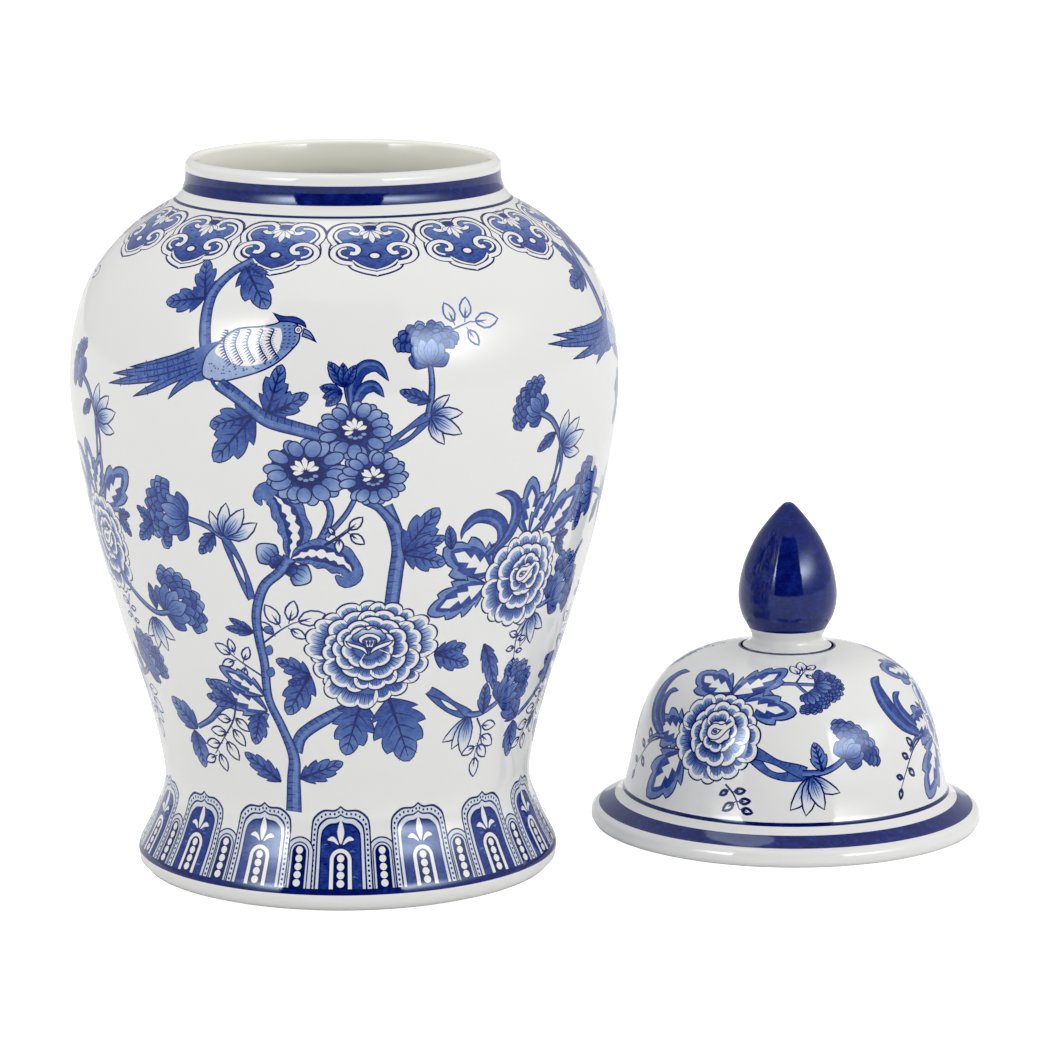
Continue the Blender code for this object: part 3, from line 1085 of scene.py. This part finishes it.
def peony_heart(base, place, size):
    """Cupped petals at the heart, with two long ones sweeping in to a V below them."""
    place = np.asarray(place, float)

    def part(points, first, last, start=(0.0, -0.6), end=(0.0, 0.9)):
        shape = smooth(np.array(points), 0.12, closed=True) * size + place
        base.outlined(shape, fade(place + np.array(start) * size, place + np.array(end) * size,
                                  first, last), 0.6)

    part([(-1.12, 0.3), (-1.14, 0.75), (-0.86, 0.95), (-0.66, 1.12), (-0.44, 1.25), (-0.1, 1.15),
          (0.16, 1.35), (0.46, 1.2), (0.72, 1.15), (0.9, 0.9), (1.1, 0.72), (1.04, 0.3), (0.0, 0.0)],
         DARK, BARE, (0.0, 0.3), (0.0, 1.25))
    part([(-0.72, 0.2), (-0.74, 0.56), (-0.36, 0.84), (0.0, 0.9), (0.38, 0.8), (0.76, 0.5),
          (0.7, 0.16), (0.0, -0.3)], BARE, BARE)
    part([(-0.5, 0.14), (-0.4, 0.46), (0.0, 0.6), (0.42, 0.44), (0.52, 0.12), (0.0, -0.5)], DEEP, MID)
    for x in (-0.2, 0.02, 0.24):
        part([(x, 0.4), (x + 0.09, 0.1), (x * 0.4, -0.26), (x - 0.09, 0.1)], BARE, BARE)
    part([(-1.62, 0.34), (-1.4, -0.1), (-0.86, -0.34), (-0.5, -0.5), (-0.06, -0.9), (-0.2, -0.3),
          (-0.62, -0.04), (-1.2, 0.16)], BARE, BARE)
    part([(1.6, 0.3), (1.16, 0.2), (0.6, 0.0), (0.16, -0.3), (-0.02, -0.84), (0.46, -0.5),
          (0.94, -0.3), (1.42, -0.06)], BARE, BARE)


def peony_swirl(base, place, size):
    """A white scalloped heart with a curled petal round a dark eye."""
    place = np.asarray(place, float)
    angle = np.arange(0, 360, 6)
    disc = arc((0, 0), (size, size * 0.9), 0, 354, 59)
    disc = disc * (0.9 + 0.12 * np.abs(np.sin(np.radians(angle * 3.5))))[:, None] + place
    base.outlined(disc, BARE, 0.7)
    curl = smooth([(0.98, 0.72), (0.5, 0.3), (0.1, -0.22), (-0.3, -0.42), (-0.68, -0.3), (-0.72, 0.1),
                   (-0.4, 0.4), (0.1, 0.34), (0.5, 0.5)], 0.16) * size + place
    base.strip(curl, 0.24 * size, BARE, 0.6)
    base.fill(arc(place + np.array([-0.3, 0.0]) * size, (0.2 * size, 0.14 * size), 0, 330, 11), DARK)


def bud(art, base, tip, wide):
    """A closed bud in a dark calyx."""
    brush, length = art.aim(base, tip)
    width = wide * length
    wash = fade((0.0, 0.2 * length), (0.0, 0.8 * length), DARK, PALE)
    brush.outlined(petal_shape(width, length), wash, 0.7)
    for lean in (-1, 0, 1):
        for x in (0.5, 0.24):
            rib = [(lean * width * x * 0.7, 0.3 * length), (lean * width * x, 0.55 * length),
                   (lean * width * x * 0.7, (0.7 + 0.1 * x) * length)]
            brush.line(smooth(rib, 1.0), 0.5, INK, (1.2, 0.3))
    for side in (-1, 1, 0):
        cup = turn(petal_shape(0.42 * width, 0.4 * length, 0.55), side * 38)
        brush.outlined(cup, rising(0.4 * length, INK, MID), 0.5)


def thorn(art, base, tip):
    """A short spur on a stem."""
    brush, length = art.aim(base, tip)
    brush.outlined(leaf_outline(length, length * 0.7, 1, 0.0), MID, 0.4)


# ---- the garden on the jar


def trunk(art):
    """The trunk and its two forks, from the foot band up to the round flowers."""
    leaf(art, (-18, 54), [(-29, 66)], 0.5, 4, 0.3)
    leaf(art, (-12, 56), [(1, 64)], 0.55, 4, 0.3)
    stem(art, [(12.5, 128), (12.5, 136), (13, 148), (13.5, 160), (12.5, 169), (10.5, 179)],
         [6.6, 6.6, 6.2, 5.4])
    stem(art, [(-12.5, 68), (-10.5, 76), (-3.5, 84), (5, 91)], [5.4, 5.8, 5.2])
    stem(art, [(-14.5, 41), (-14, 55), (-13.4, 66), (-16, 79), (-18.8, 92), (-18.6, 108),
               (-19.2, 120), (-19, 131), (-16.5, 143), (-12.5, 150), (-10.2, 157)],
         [8.4, 6.6, 4.6, 4.2, 4.2, 4.2, 4.2, 4.4])
    for base, tip in (((-17.6, 112), (-16.4, 117)), ((-17.8, 102), (-16.6, 107)),
                      ((-17.8, 123), (-15.4, 125))):
        thorn(art, base, tip)
    stem(art, [(-10.5, 155), (-5, 160), (-2, 169), (-1, 177), (-2.5, 184)], [4.2, 3.6, 2.8])
    stalk(art, [(-2, 166), (2, 175), (4.5, 184)], [2.6, 2.4])
    stalk(art, [(12.5, 170), (9, 178), (6, 181)], [4.6, 3.2])
    leaf(art, (14.5, 158), [(22, 177), (24.5, 152)], 0.62, 3, 0.36)
    leaf(art, (14.5, 158), [(24, 164)])


def bird_branch(art):
    """The branch under the bird and the one behind it, with their leaves."""
    leaf(art, (-30, 262), [(-34, 276), (-40.5, 259)], 0.62, 3, 0.36)
    leaf(art, (-22.5, 275), [(-16.5, 271), (-14.5, 259)], 0.62, 3, 0.36)
    stem(art, [(-21, 277), (-25.5, 272), (-28.5, 264), (-28.5, 252), (-27, 240), (-24, 230)],
         [4.6, 5.4, 5.6, 5.0])
    leaf(art, (-13.5, 217), [(-10.5, 238), (-5, 226), (-8, 221)], 0.56, 3, 0.36)
    leaf(art, (-16, 217), [(-26, 211), (-25.5, 196)], 0.6, 3, 0.36)
    stem(art, [(-24, 229), (-20.5, 225), (-17, 220), (-13.5, 215), (-8, 212), (-2, 209)],
         [6.2, 6.0, 6.4, 5.6])


def round_flowers(art):
    """Three overlapping round flowers, with the tulip and tendrils above them."""
    stalk(art, [(4, 219), (3, 224), (2.4, 230)], [3.4, 2.6])
    horn(art, [(3.5, 221), (3.8, 229), (5.6, 236), (8.6, 237), (11, 231)], 6.0)
    horn(art, [(4, 221), (5.6, 227.5), (8, 229), (10, 224.5)], 5.4)
    for tip in ((-1.2, 239.5), (1.8, 239), (4.4, 238)):
        leaf(art, (2, 229), [tip], 0.5, 1, 0.0, (DEEP, LIGHT))
    for tip in ((-3, 229), (-2.4, 224.5), (-1.8, 221)):
        leaf(art, (1.6, 227), [tip], 0.55, 1, 0.0, (DEEP, LIGHT))
    rosette(art, (4.2, 211), 15.2, 12.4, 8)
    rosette(art, (-5.8, 193.6), 17.6, 14.4, 3)
    rosette(art, (7.8, 191), 14.2, 11.8, 5)
    stalk(art, [(3.5, 170), (0.5, 165.5), (-2.5, 162)], [1.6, 1.4])
    sprig(art, [(-2.5, 162), (0.5, 166), (3, 168.5)],
          [((2.4, 168), (5.6, 174)), ((0.8, 166), (0.6, 158.6)), ((2.6, 167.6), (6, 162.6)),
           ((0, 166), (-1.6, 170))], INK)


def scroll_leaves(art):
    """Two curling leaves and two buds where the trunk ends."""
    swept_leaf(art, [(-10, 156), (-8.6, 166), (-9.6, 175), (-12, 182), (-14.4, 184.4),
                     (-16.2, 182), (-15.4, 178.6)], 13.5)
    swept_leaf(art, [(-9.6, 156), (-5.5, 158.5), (-1.5, 157.6), (2, 154), (3.4, 149.6), (1.6, 146),
                     (-0.2, 149)], 12.5)
    bud(art, (-12.4, 153), (-17.2, 161.5), 0.9)
    bud(art, (-10.6, 152), (-5.6, 146), 1.0)


def main_peony(art):
    """The large peony and the leaves round it."""
    leaf(art, (-7, 104), [(-15.6, 110.5), (-13, 99), (-14.2, 85)], 0.62, 3, 0.36)
    leaf(art, (6, 92), [(1.6, 67)], 0.72, 4, 0.34)
    leaf(art, (13, 93), [(20.4, 63)], 0.76, 4, 0.34)
    leaf(art, (24, 112), [(32.8, 114), (34.4, 105)], 0.62)
    rings = [(1.0, 8), (0.8, 7), (0.6, 6), (0.42, 5)]
    base = peony(art, (8.2, 113.4), 28.8, 26.6, rings, (-1.0, 3.8), 11)
    peony_heart(base, (-1.0, 4.6), 6.2)


def low_right_spray(art):
    """A twisted stem to the right of the large peony."""
    twist(art, [(24, 95), (31, 86.5), (38, 81)], 3.6, 4.4)
    stalk(art, [(37.4, 81.2), (42, 81), (47, 84), (50, 88)], [3.4, 2.6])
    aster(art, (48, 84.5), (58, 99), 20.0, 4)
    leaf(art, (43, 80.5), [(41.5, 95)], 0.5, 2, 0.2)
    lotus(art, (38, 80.5), [(30, 70), (33.5, 66), (38, 62), (39.8, 69)])
    sprig(art, [(41, 79), (43.5, 72), (42.6, 62)],
          [((42.6, 75), (48.8, 74)), ((43.2, 71), (49, 65)), ((42.8, 66), (37.6, 63)),
           ((42.6, 62), (43.4, 52)), ((42.8, 67), (47, 60))])


def upper_right_spray(art):
    """A twisted stem that climbs from the round flowers to the shoulder."""
    twist(art, [(9.5, 203.6), (14, 208), (19.2, 216.4)], 3.6, 4.2)
    stem(art, [(18.8, 215.6), (19.6, 224), (19.8, 231), (19.6, 237)], [3.4, 2.6])
    aster(art, (19.6, 236.5), (19.2, 254.5), 23.5, 6)
    leaf(art, (19.4, 222), [(13, 227)], 0.5, 3, 0.25)
    lotus(art, (19.4, 216), [(23.6, 224.5), (26.4, 216.5), (26.2, 207.5), (22.4, 203.5)])
    sprig(art, [(23.5, 249), (26.5, 251), (30, 253)],
          [((26, 252), (24.4, 260.5)), ((28.4, 253), (29.8, 262)), ((30, 252.6), (36.4, 253)),
           ((28.6, 250.6), (30.8, 243.5))], MID)


def side_group(art):
    """The spray and the second peony to the right of the tree."""
    aster(art, (46, 212), (39.4, 221.6), 21.0, 9)
    stalk(art, [(45.5, 212.6), (49, 208.5), (52, 200), (52.6, 195)], [3.0, 3.0])
    twist(art, [(52.6, 196), (52.4, 186), (50.6, 175)], 2.8, 3.6)
    lotus(art, (52.8, 196.5), [(54.4, 212), (58.6, 207.5), (61, 201), (60, 192)])
    leaf(art, (50.4, 203), [(45, 196)], 0.5, 2, 0.2)
    pale_leaf(art, (46, 159), (44.6, 186), 0.62)
    pale_leaf(art, (50, 158), (63, 177), 0.62)
    pale_leaf(art, (46, 160), (52.6, 181), 0.5)
    leaf(art, (56, 156), [(61, 157), (60, 147)], 0.6)
    pale_leaf(art, (36.8, 146), (23.4, 159), 0.8, 3, 0.35)
    leaf(art, (25.6, 158), [(24.4, 169)], 0.5, 1, 0.0)
    pale_leaf(art, (35.6, 141), (21, 130), 0.66, 4, 0.3)
    stalk(art, [(37.6, 147), (37.2, 154), (36.6, 159)], [5.0, 4.0])
    horn(art, [(34.6, 154), (38, 159), (37.6, 166), (34.4, 170.6), (30.6, 170.8), (28, 166),
               (27.6, 162)], 6.8)
    horn(art, [(36.6, 155), (39.6, 161), (41.2, 168), (40.8, 175), (38.4, 179.4), (35, 180.6)], 6.2)
    base = peony(art, (46.2, 140.4), 22.5, 23.6, SMALL_RINGS, (1.2, 2.4), 21)
    peony_swirl(base, (1.2, 2.4), 5.6)
    sprig(art, [(51, 119), (49, 113), (49.6, 105)],
          [((49.6, 114), (46, 116.4)), ((49.4, 112), (52.6, 113)), ((49.4, 109), (46, 108.6)),
           ((49.4, 107), (52.4, 107)), ((49.6, 105), (49.8, 100))], DEEP)


def right_edge(art):
    """The few stray leaves that close the front of the jar on the right."""
    stem(art, [(62, 137), (67, 143), (71, 150)], [3.2, 2.6])
    leaf(art, (69, 118), [(71.5, 133)], 0.4)
    leaf(art, (73.5, 100), [(72.5, 85)])
    leaf(art, (72, 74), [(68, 66)])


def left_group(art):
    """Asters, half-open flowers and buds on the winding stems to the left of the tree."""
    stalk(art, [(-34, 170.5), (-29, 168), (-24.5, 163)], [2.6, 3.2])
    twist(art, [(-24.6, 163.4), (-22, 151), (-19.8, 137)], 3.2, 4.4)
    aster(art, (-33.5, 170), (-45.5, 172.5), 25.0, 12)
    lotus(art, (-24.8, 163.8), [(-27.6, 175), (-23.4, 179), (-19.4, 177), (-16.6, 171)])
    leaf(art, (-27, 165), [(-31.6, 155)], 0.6)
    leaf(art, (-44, 166), [(-48.6, 172), (-49.6, 157)], 0.62)
    aster(art, (-46, 125.4), (-34.6, 139), 26.0, 15)
    stem(art, [(-44.6, 126), (-50, 124.6), (-56, 129), (-61, 136), (-64, 146)], [2.8, 3.0, 2.6])
    leaf(art, (-49.4, 126), [(-50, 138)], 0.5, 2, 0.2)
    lotus(art, (-51.4, 122), [(-57, 111.6), (-53.4, 107), (-49, 107), (-45, 113)])
    leaf(art, (-66.5, 112), [(-59, 89)], 0.34, 4, 0.25)
    leaf(art, (-20.4, 122), [(-26.5, 127.6), (-28, 123)], 0.4, 2, 0.2)
    sprig(art, [(-18.6, 117), (-13.4, 124), (-10, 127.6)],
          [((-13.4, 125), (-16.6, 134.6)), ((-11.4, 127), (-9.8, 137)), ((-10, 127.4), (-3, 131.6)),
           ((-11.6, 125), (-7.6, 120.6)), ((-15, 121), (-18.2, 127))])
    sprig(art, [(-19.4, 102), (-25, 108), (-29, 113)],
          [((-27, 110.4), (-31.6, 115)), ((-26.6, 111), (-27.4, 118)), ((-24.4, 108), (-22.4, 115)),
           ((-26.4, 108.6), (-30.6, 105.6)), ((-24, 106.4), (-25, 100.6))])
    stem(art, [(-19.8, 83), (-24, 86), (-29, 88.6), (-34, 85.6), (-39, 79), (-45, 74)],
         [4.4, 4.0, 3.6, 3.0, 2.4])
    pale_leaf(art, (-19.6, 86), (-37, 97), 0.56)
    pale_leaf(art, (-20, 93), (-32, 105), 0.5)
    leaf(art, (-29, 88), [(-38.6, 90), (-37.4, 98)], 0.55)
    leaf(art, (-22, 85), [(-25, 70)], 0.66)
    leaf(art, (-45.4, 73), [(-54.8, 85)], 0.7, 3, 0.2, (DARK, LIGHT))
    leaf(art, (-47, 72), [(-45.8, 55)], 0.66, 3, 0.2, (DARK, LIGHT))
    sprig(art, [(-29, 88), (-31, 80), (-35, 72), (-40, 63)],
          [((-30.6, 82), (-26.4, 76)), ((-31, 80), (-36.4, 80.6)), ((-32, 77), (-28.4, 69)),
           ((-33.4, 74), (-39.6, 74)), ((-35, 71), (-31.4, 62)), ((-36.4, 68.6), (-42.6, 67)),
           ((-38.4, 64.6), (-36.4, 56)), ((-39.4, 62.4), (-44.4, 58.6))], INK)


def garden_group(art, lift):
    """One whole garden, back to front."""
    left_group(art)
    side_group(art)
    low_right_spray(art)
    upper_right_spray(art)
    trunk(art)
    bird_branch(art)
    bird(art, lift)
    main_peony(art)
    scroll_leaves(art)
    round_flowers(art)


def bird(art, lift):
    """A crested bird facing right, its long ragged tail turned up by lift degrees."""
    brush = art.brush(-17, 242)
    quills = [
        ([(-26, -1), (-36, -5), (-48, -8.5), (-61, -11)], 4.0),
        ([(-26, -4), (-40, -9), (-56, -12.5), (-72, -15)], 4.8),
        ([(-24, -6), (-40, -11.5), (-58, -16), (-75, -19.5)], 5.2),
        ([(-24, -8), (-36, -13), (-46, -18), (-58, -23)], 4.8),
        ([(-22, -9), (-29, -13.5), (-34, -17.5), (-38, -22)], 4.2),
    ]
    quills = [(turn(np.array(points) + (22, 5), -lift) - (22, 5), width) for points, width in quills]
    for inner in (0.0, 0.6):
        for points, width in quills:
            line = smooth(points, 1.4)
            share = np.linspace(0.0, 1.0, len(line))
            half = width / 2 * np.interp(share, (0, 0.5, 0.8, 1), (1, 0.95, 0.6, 0.08))
            brush.ribbon(line, half - inner, MID if inner else INK)
    brush.blob([(-14, 3), (-22, 1.6), (-30, -2), (-42, -7), (-44, -12), (-34, -13), (-20, -12)],
               MID + 0.04, 1.4)
    for k, (points, _) in enumerate(quills):
        line = smooth(points, 1.4)
        brush.line(line[:-2], 0.6, DEEP, (1.0, 0.3))
        for i in range(3 + k % 2, len(line) - 6, 4):
            side = sideways(line)[i] * 2.0
            brush.line([line[i] - side, line[i] + (0.8, 0), line[i] + side], 0.8, DARK, (0.6, 0.6))
    body = smooth([(13.0, 14.4), (9.0, 12.6), (2.5, 11.2), (-8.5, 9.4), (-16.0, 3.0), (-21.0, -3.0),
                   (-21.4, -11.0), (-13.5, -12.8), (-4.0, -10.6), (5.0, -7.4), (11.5, -3.6),
                   (17.0, 1.6), (20.0, 6.0), (19.0, 12.0)], 1.3, closed=True)
    brush.outlined(body, fade((-20.0, 0.0), (16.0, 0.0), PALE + 0.04, LIGHT), 0.7)
    rng = np.random.default_rng(5)
    for _ in range(44):
        x = rng.uniform(-19, 12)
        low = np.interp(x, (-20, -13, -4, 5, 12), (-10.2, -11.2, -9.2, -6.0, -2.0))
        spot = (x, low + rng.uniform(0.3, 5.0))
        brush.fill(arc(spot, (0.42, 0.34), 0, 300, 6), DARK)
    wing = [(12.6, 9.6), (3.0, 10.4), (-7.0, 8.8), (-14.4, 3.0), (-16.4, -1.0), (-10.0, -4.0),
            (-3.0, -5.6), (5.0, -4.0), (11.0, 0.6)]
    brush.blob(wing, BARE)
    for k, x in enumerate((9.4, 4.6, -0.6, -5.8, -11.0)):
        bow = [(x - 0.6, 9.8 - 0.4 * k), (x - 2.0, 5.4 - 0.6 * k), (x - 0.4, 1.6 - 0.7 * k),
               (x + 2.2, -1.6 - 0.8 * k)]
        line = smooth(bow, 1.15)
        brush.line(line, 0.8, DEEP, (0.8, 0.4))
        normals = sideways(line)
        for i in range(len(line)):
            root = line[i]
            brush.line([root, root - normals[i] * 1.1, root - normals[i] * 2.4 + (0, -0.3)], 0.62, DEEP,
                       (1.3, 0.2))
            brush.line([root + normals[i] * 0.6, root + normals[i] * 1.5], 0.4, MID, (1.0, 0.2))
    collar = [(11.4, 12.6), (15.6, 13.4), (18.6, 11.0), (18.4, 5.6), (15.4, 1.6), (11.8, 2.0),
              (12.4, 7.0)]
    brush.blob(collar, LIGHT + 0.06, 1.2)
    for x in (12.6, 14.8, 17.0):
        for y in np.arange(2.6, 12.4, 1.5):
            lean = x + 0.9 * math.sin((y - 2.6) / 3.2)
            brush.line([(lean - 0.5, y), (lean + 0.5, y + 0.3)], 0.6, DEEP, (1.0, 0.5))
    crest = chain([(7.0, 17.2), (12.0, 15.8), (17.4, 15.6), (21.6, 13.4), (22.6, 10.6)],
                  [(22.6, 10.6), (19.6, 12.0), (15.0, 13.0), (10.6, 13.0)],
                  [(10.6, 13.0), (9.0, 14.8), (7.0, 17.2)])
    brush.outlined(crest, DARK, 0.6)
    beak = chain([(21.2, 11.0), (24.4, 9.2), (27.2, 4.6)], [(27.2, 4.6), (24.0, 6.0), (20.4, 7.2)],
                 [(20.4, 7.2), (21.2, 11.0)], step=0.8)
    brush.outlined(beak, LIGHT, 0.6)
    brush.line([(21.4, 8.8), (24.0, 7.6), (26.6, 5.2)], 0.5, INK, (1.0, 0.5))
    for radius, tone in ((1.9, INK), (1.3, BARE), (0.75, INK), (0.3, BARE)):
        brush.fill(arc((19.0, 10.0), (radius, radius), 0, 330, 11), tone)
    for x in (-17.4, -12.0):
        brush.ribbon(smooth([(x, -11.4), (x + 1.2, -13.6), (x + 3.0, -15.4)], 1.0), 0.8, DARK)


def jar_garden(art):
    """The gardens all round the jar, and the stray leaves between them."""
    for degrees, height, lift in GARDENS:
        art.shift = (degrees, height)
        garden_group(art, lift)
    right_edge(art)
    art.shift = (0.0, 0.0)


# ---- the garden on the lid


def lid_group(art):
    """One of the lid's three sprays, back to front."""
    stalk(art, [(-24, 70), (-14, 72.6), (-4, 73.6), (5, 73.4), (14, 73)], [2.8, 2.4, 2.0])
    stalk(art, [(2, 73.4), (7, 70), (10, 67.4)], [2.0, 1.8])
    aster(art, (12, 73.4), (27, 71.6), 15.0, 3)
    aster(art, (7, 70.4), (13.4, 63.6), 14.0, 4)
    leaf(art, (14, 74), [(19, 77.6)], 0.7, 2, 0.2)
    sprig(art, [(2, 74), (6, 76.4), (9, 77.4)],
          [((5, 76), (0, 78.6)), ((7, 77), (8, 79.4)), ((9, 77.4), (18, 78.6)), ((8, 76.6), (12, 75))])
    pale_leaf(art, (-30, 69.4), (-58, 74), 0.75)
    pale_leaf(art, (-30, 68), (-2.5, 78), 0.62, 4, 0.3)
    pale_leaf(art, (-24, 66), (1.6, 63), 0.66)
    pale_leaf(art, (-46, 51), (-66, 51), 0.95, 3, 0.35)
    pale_leaf(art, (-45.6, 43), (-62, 19), 0.72)
    stalk(art, [(-58, 47), (-64, 46), (-69, 42)], [2.4, 1.8])
    horn(art, [(-60, 48), (-66, 52), (-72, 58), (-75, 65), (-73, 71), (-66, 73)], 9.0)
    horn(art, [(-60, 51), (-65, 56), (-67.6, 61), (-66, 65), (-61, 66)], 5.6)
    twist(art, [(-17, 47), (-7, 40), (4, 38)], 5.2, 6.4)
    stalk(art, [(3, 38), (10.5, 38.4), (16, 41), (20.6, 45)], [3.4, 2.8])
    aster(art, (19.4, 43.4), (29.4, 55), 25.0, 17)
    leaf(art, (10.6, 38.6), [(7.6, 51.4)], 0.6, 2, 0.2, (MID, LIGHT))
    lotus(art, (6, 37), [(-1.6, 22), (4, 19.6), (10.8, 22), (17, 29)])
    base = peony(art, (-31.5, 52), 22.4, 23.0, SMALL_RINGS, (0.8, 1.8), 31)
    peony_swirl(base, (0.8, 1.8), 6.2)
    sprig(art, [(-25.4, 32), (-22, 28), (-19.4, 21.6)],
          [((-23.6, 30), (-27.4, 27)), ((-22.6, 29), (-17.6, 30)), ((-21, 25), (-25.6, 20.6)),
           ((-20.6, 25), (-15.6, 25.6)), ((-19.6, 22), (-14.6, 20.6))], INK, 1.3)
    sprig(art, [(60, 46), (53, 42), (47, 34), (43.6, 28)],
          [((54, 43), (50.4, 48)), ((50, 38.6), (46, 42)), ((48, 35.6), (51.6, 31)),
           ((45.4, 31), (41.4, 33)), ((43.6, 28), (42, 22.6))], INK, 1.3)


def lid_garden(art):
    """The same spray three times round the lid."""
    for degrees in (120.0, -120.0, 0.0):
        art.shift = (degrees, 0.0)
        lid_group(art)
    art.shift = (0.0, 0.0)


# ---- the object


def middle_of(node_name):
    """The axis of a turned node, in metres."""
    low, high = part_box(node_name)
    return ((low[0] + high[0]) / 2, (low[1] + high[1]) / 2)


def build():
    """Every piece, with its body and its finish; the CAD nodes that the pieces stand for are hidden."""
    jar_centre, lid_centre = middle_of("jar_body"), middle_of("lid")
    painted = painted_glaze("painted_glaze")
    cream = plain_glaze("inner_glaze", colour(240, 240, 230), colour(234, 233, 223))
    clay = bare_clay("foot_clay")

    jar = Painting(Surface(jar_outer(), jar_centre))
    jar_borders(jar)
    jar_garden(jar)
    rows = rows_between(jar.surface, JAR_ROW)
    skins = [painted_skin(f"jar_wall_{letter}", jar, start, start + 90.0, rows, painted)
             for letter, start in zip("abcd", (-45.0, 45.0, 135.0, 225.0))]
    inner = Surface(jar_inner(), jar_centre)
    base = Surface(jar_base(), jar_centre)
    skins.append(plain_skin("jar_inside", inner, rows_between(inner, INSIDE_ROW), cream))
    skins.append(plain_skin("jar_foot", base, base.run, clay))
    for piece in skins:
        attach(piece, "jar")
        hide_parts("jar_body")

    lid = Painting(Surface(lid_outer(), lid_centre))
    lid_borders(lid)
    lid_garden(lid)
    rows = rows_between(lid.surface, LID_ROW)
    covers = [painted_skin(f"lid_dome_{letter}", lid, middle - 60, middle + 60, rows, painted)
              for letter, middle in zip("abc", (0.0, 120.0, 240.0))]
    under = Surface(lid_inner(), lid_centre)
    covers.append(plain_skin("lid_inside", under, under.run, cream))
    for piece in covers:
        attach(piece, "lid")
        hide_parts("lid")

    knob = Painting(Surface(finial_outer(), lid_centre))
    knob.band(0.0, knob.surface.run_at(BUD_STATIONS[-3][1] + 0.2), 0.95)
    rows = rows_between(knob.surface, BUD_ROW)
    knob_skin = painted_skin("lid_bud", knob, 0.0, 360.0, rows, painted)
    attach(knob_skin, "lid")
    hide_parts("lid_finial")


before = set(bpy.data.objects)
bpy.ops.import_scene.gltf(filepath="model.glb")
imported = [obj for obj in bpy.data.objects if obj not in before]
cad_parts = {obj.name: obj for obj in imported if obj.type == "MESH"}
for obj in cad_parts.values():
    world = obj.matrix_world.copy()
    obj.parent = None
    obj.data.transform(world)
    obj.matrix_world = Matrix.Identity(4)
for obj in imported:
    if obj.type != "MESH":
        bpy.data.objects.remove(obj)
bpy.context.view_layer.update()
camera()
build()
make_floor()
make_room()
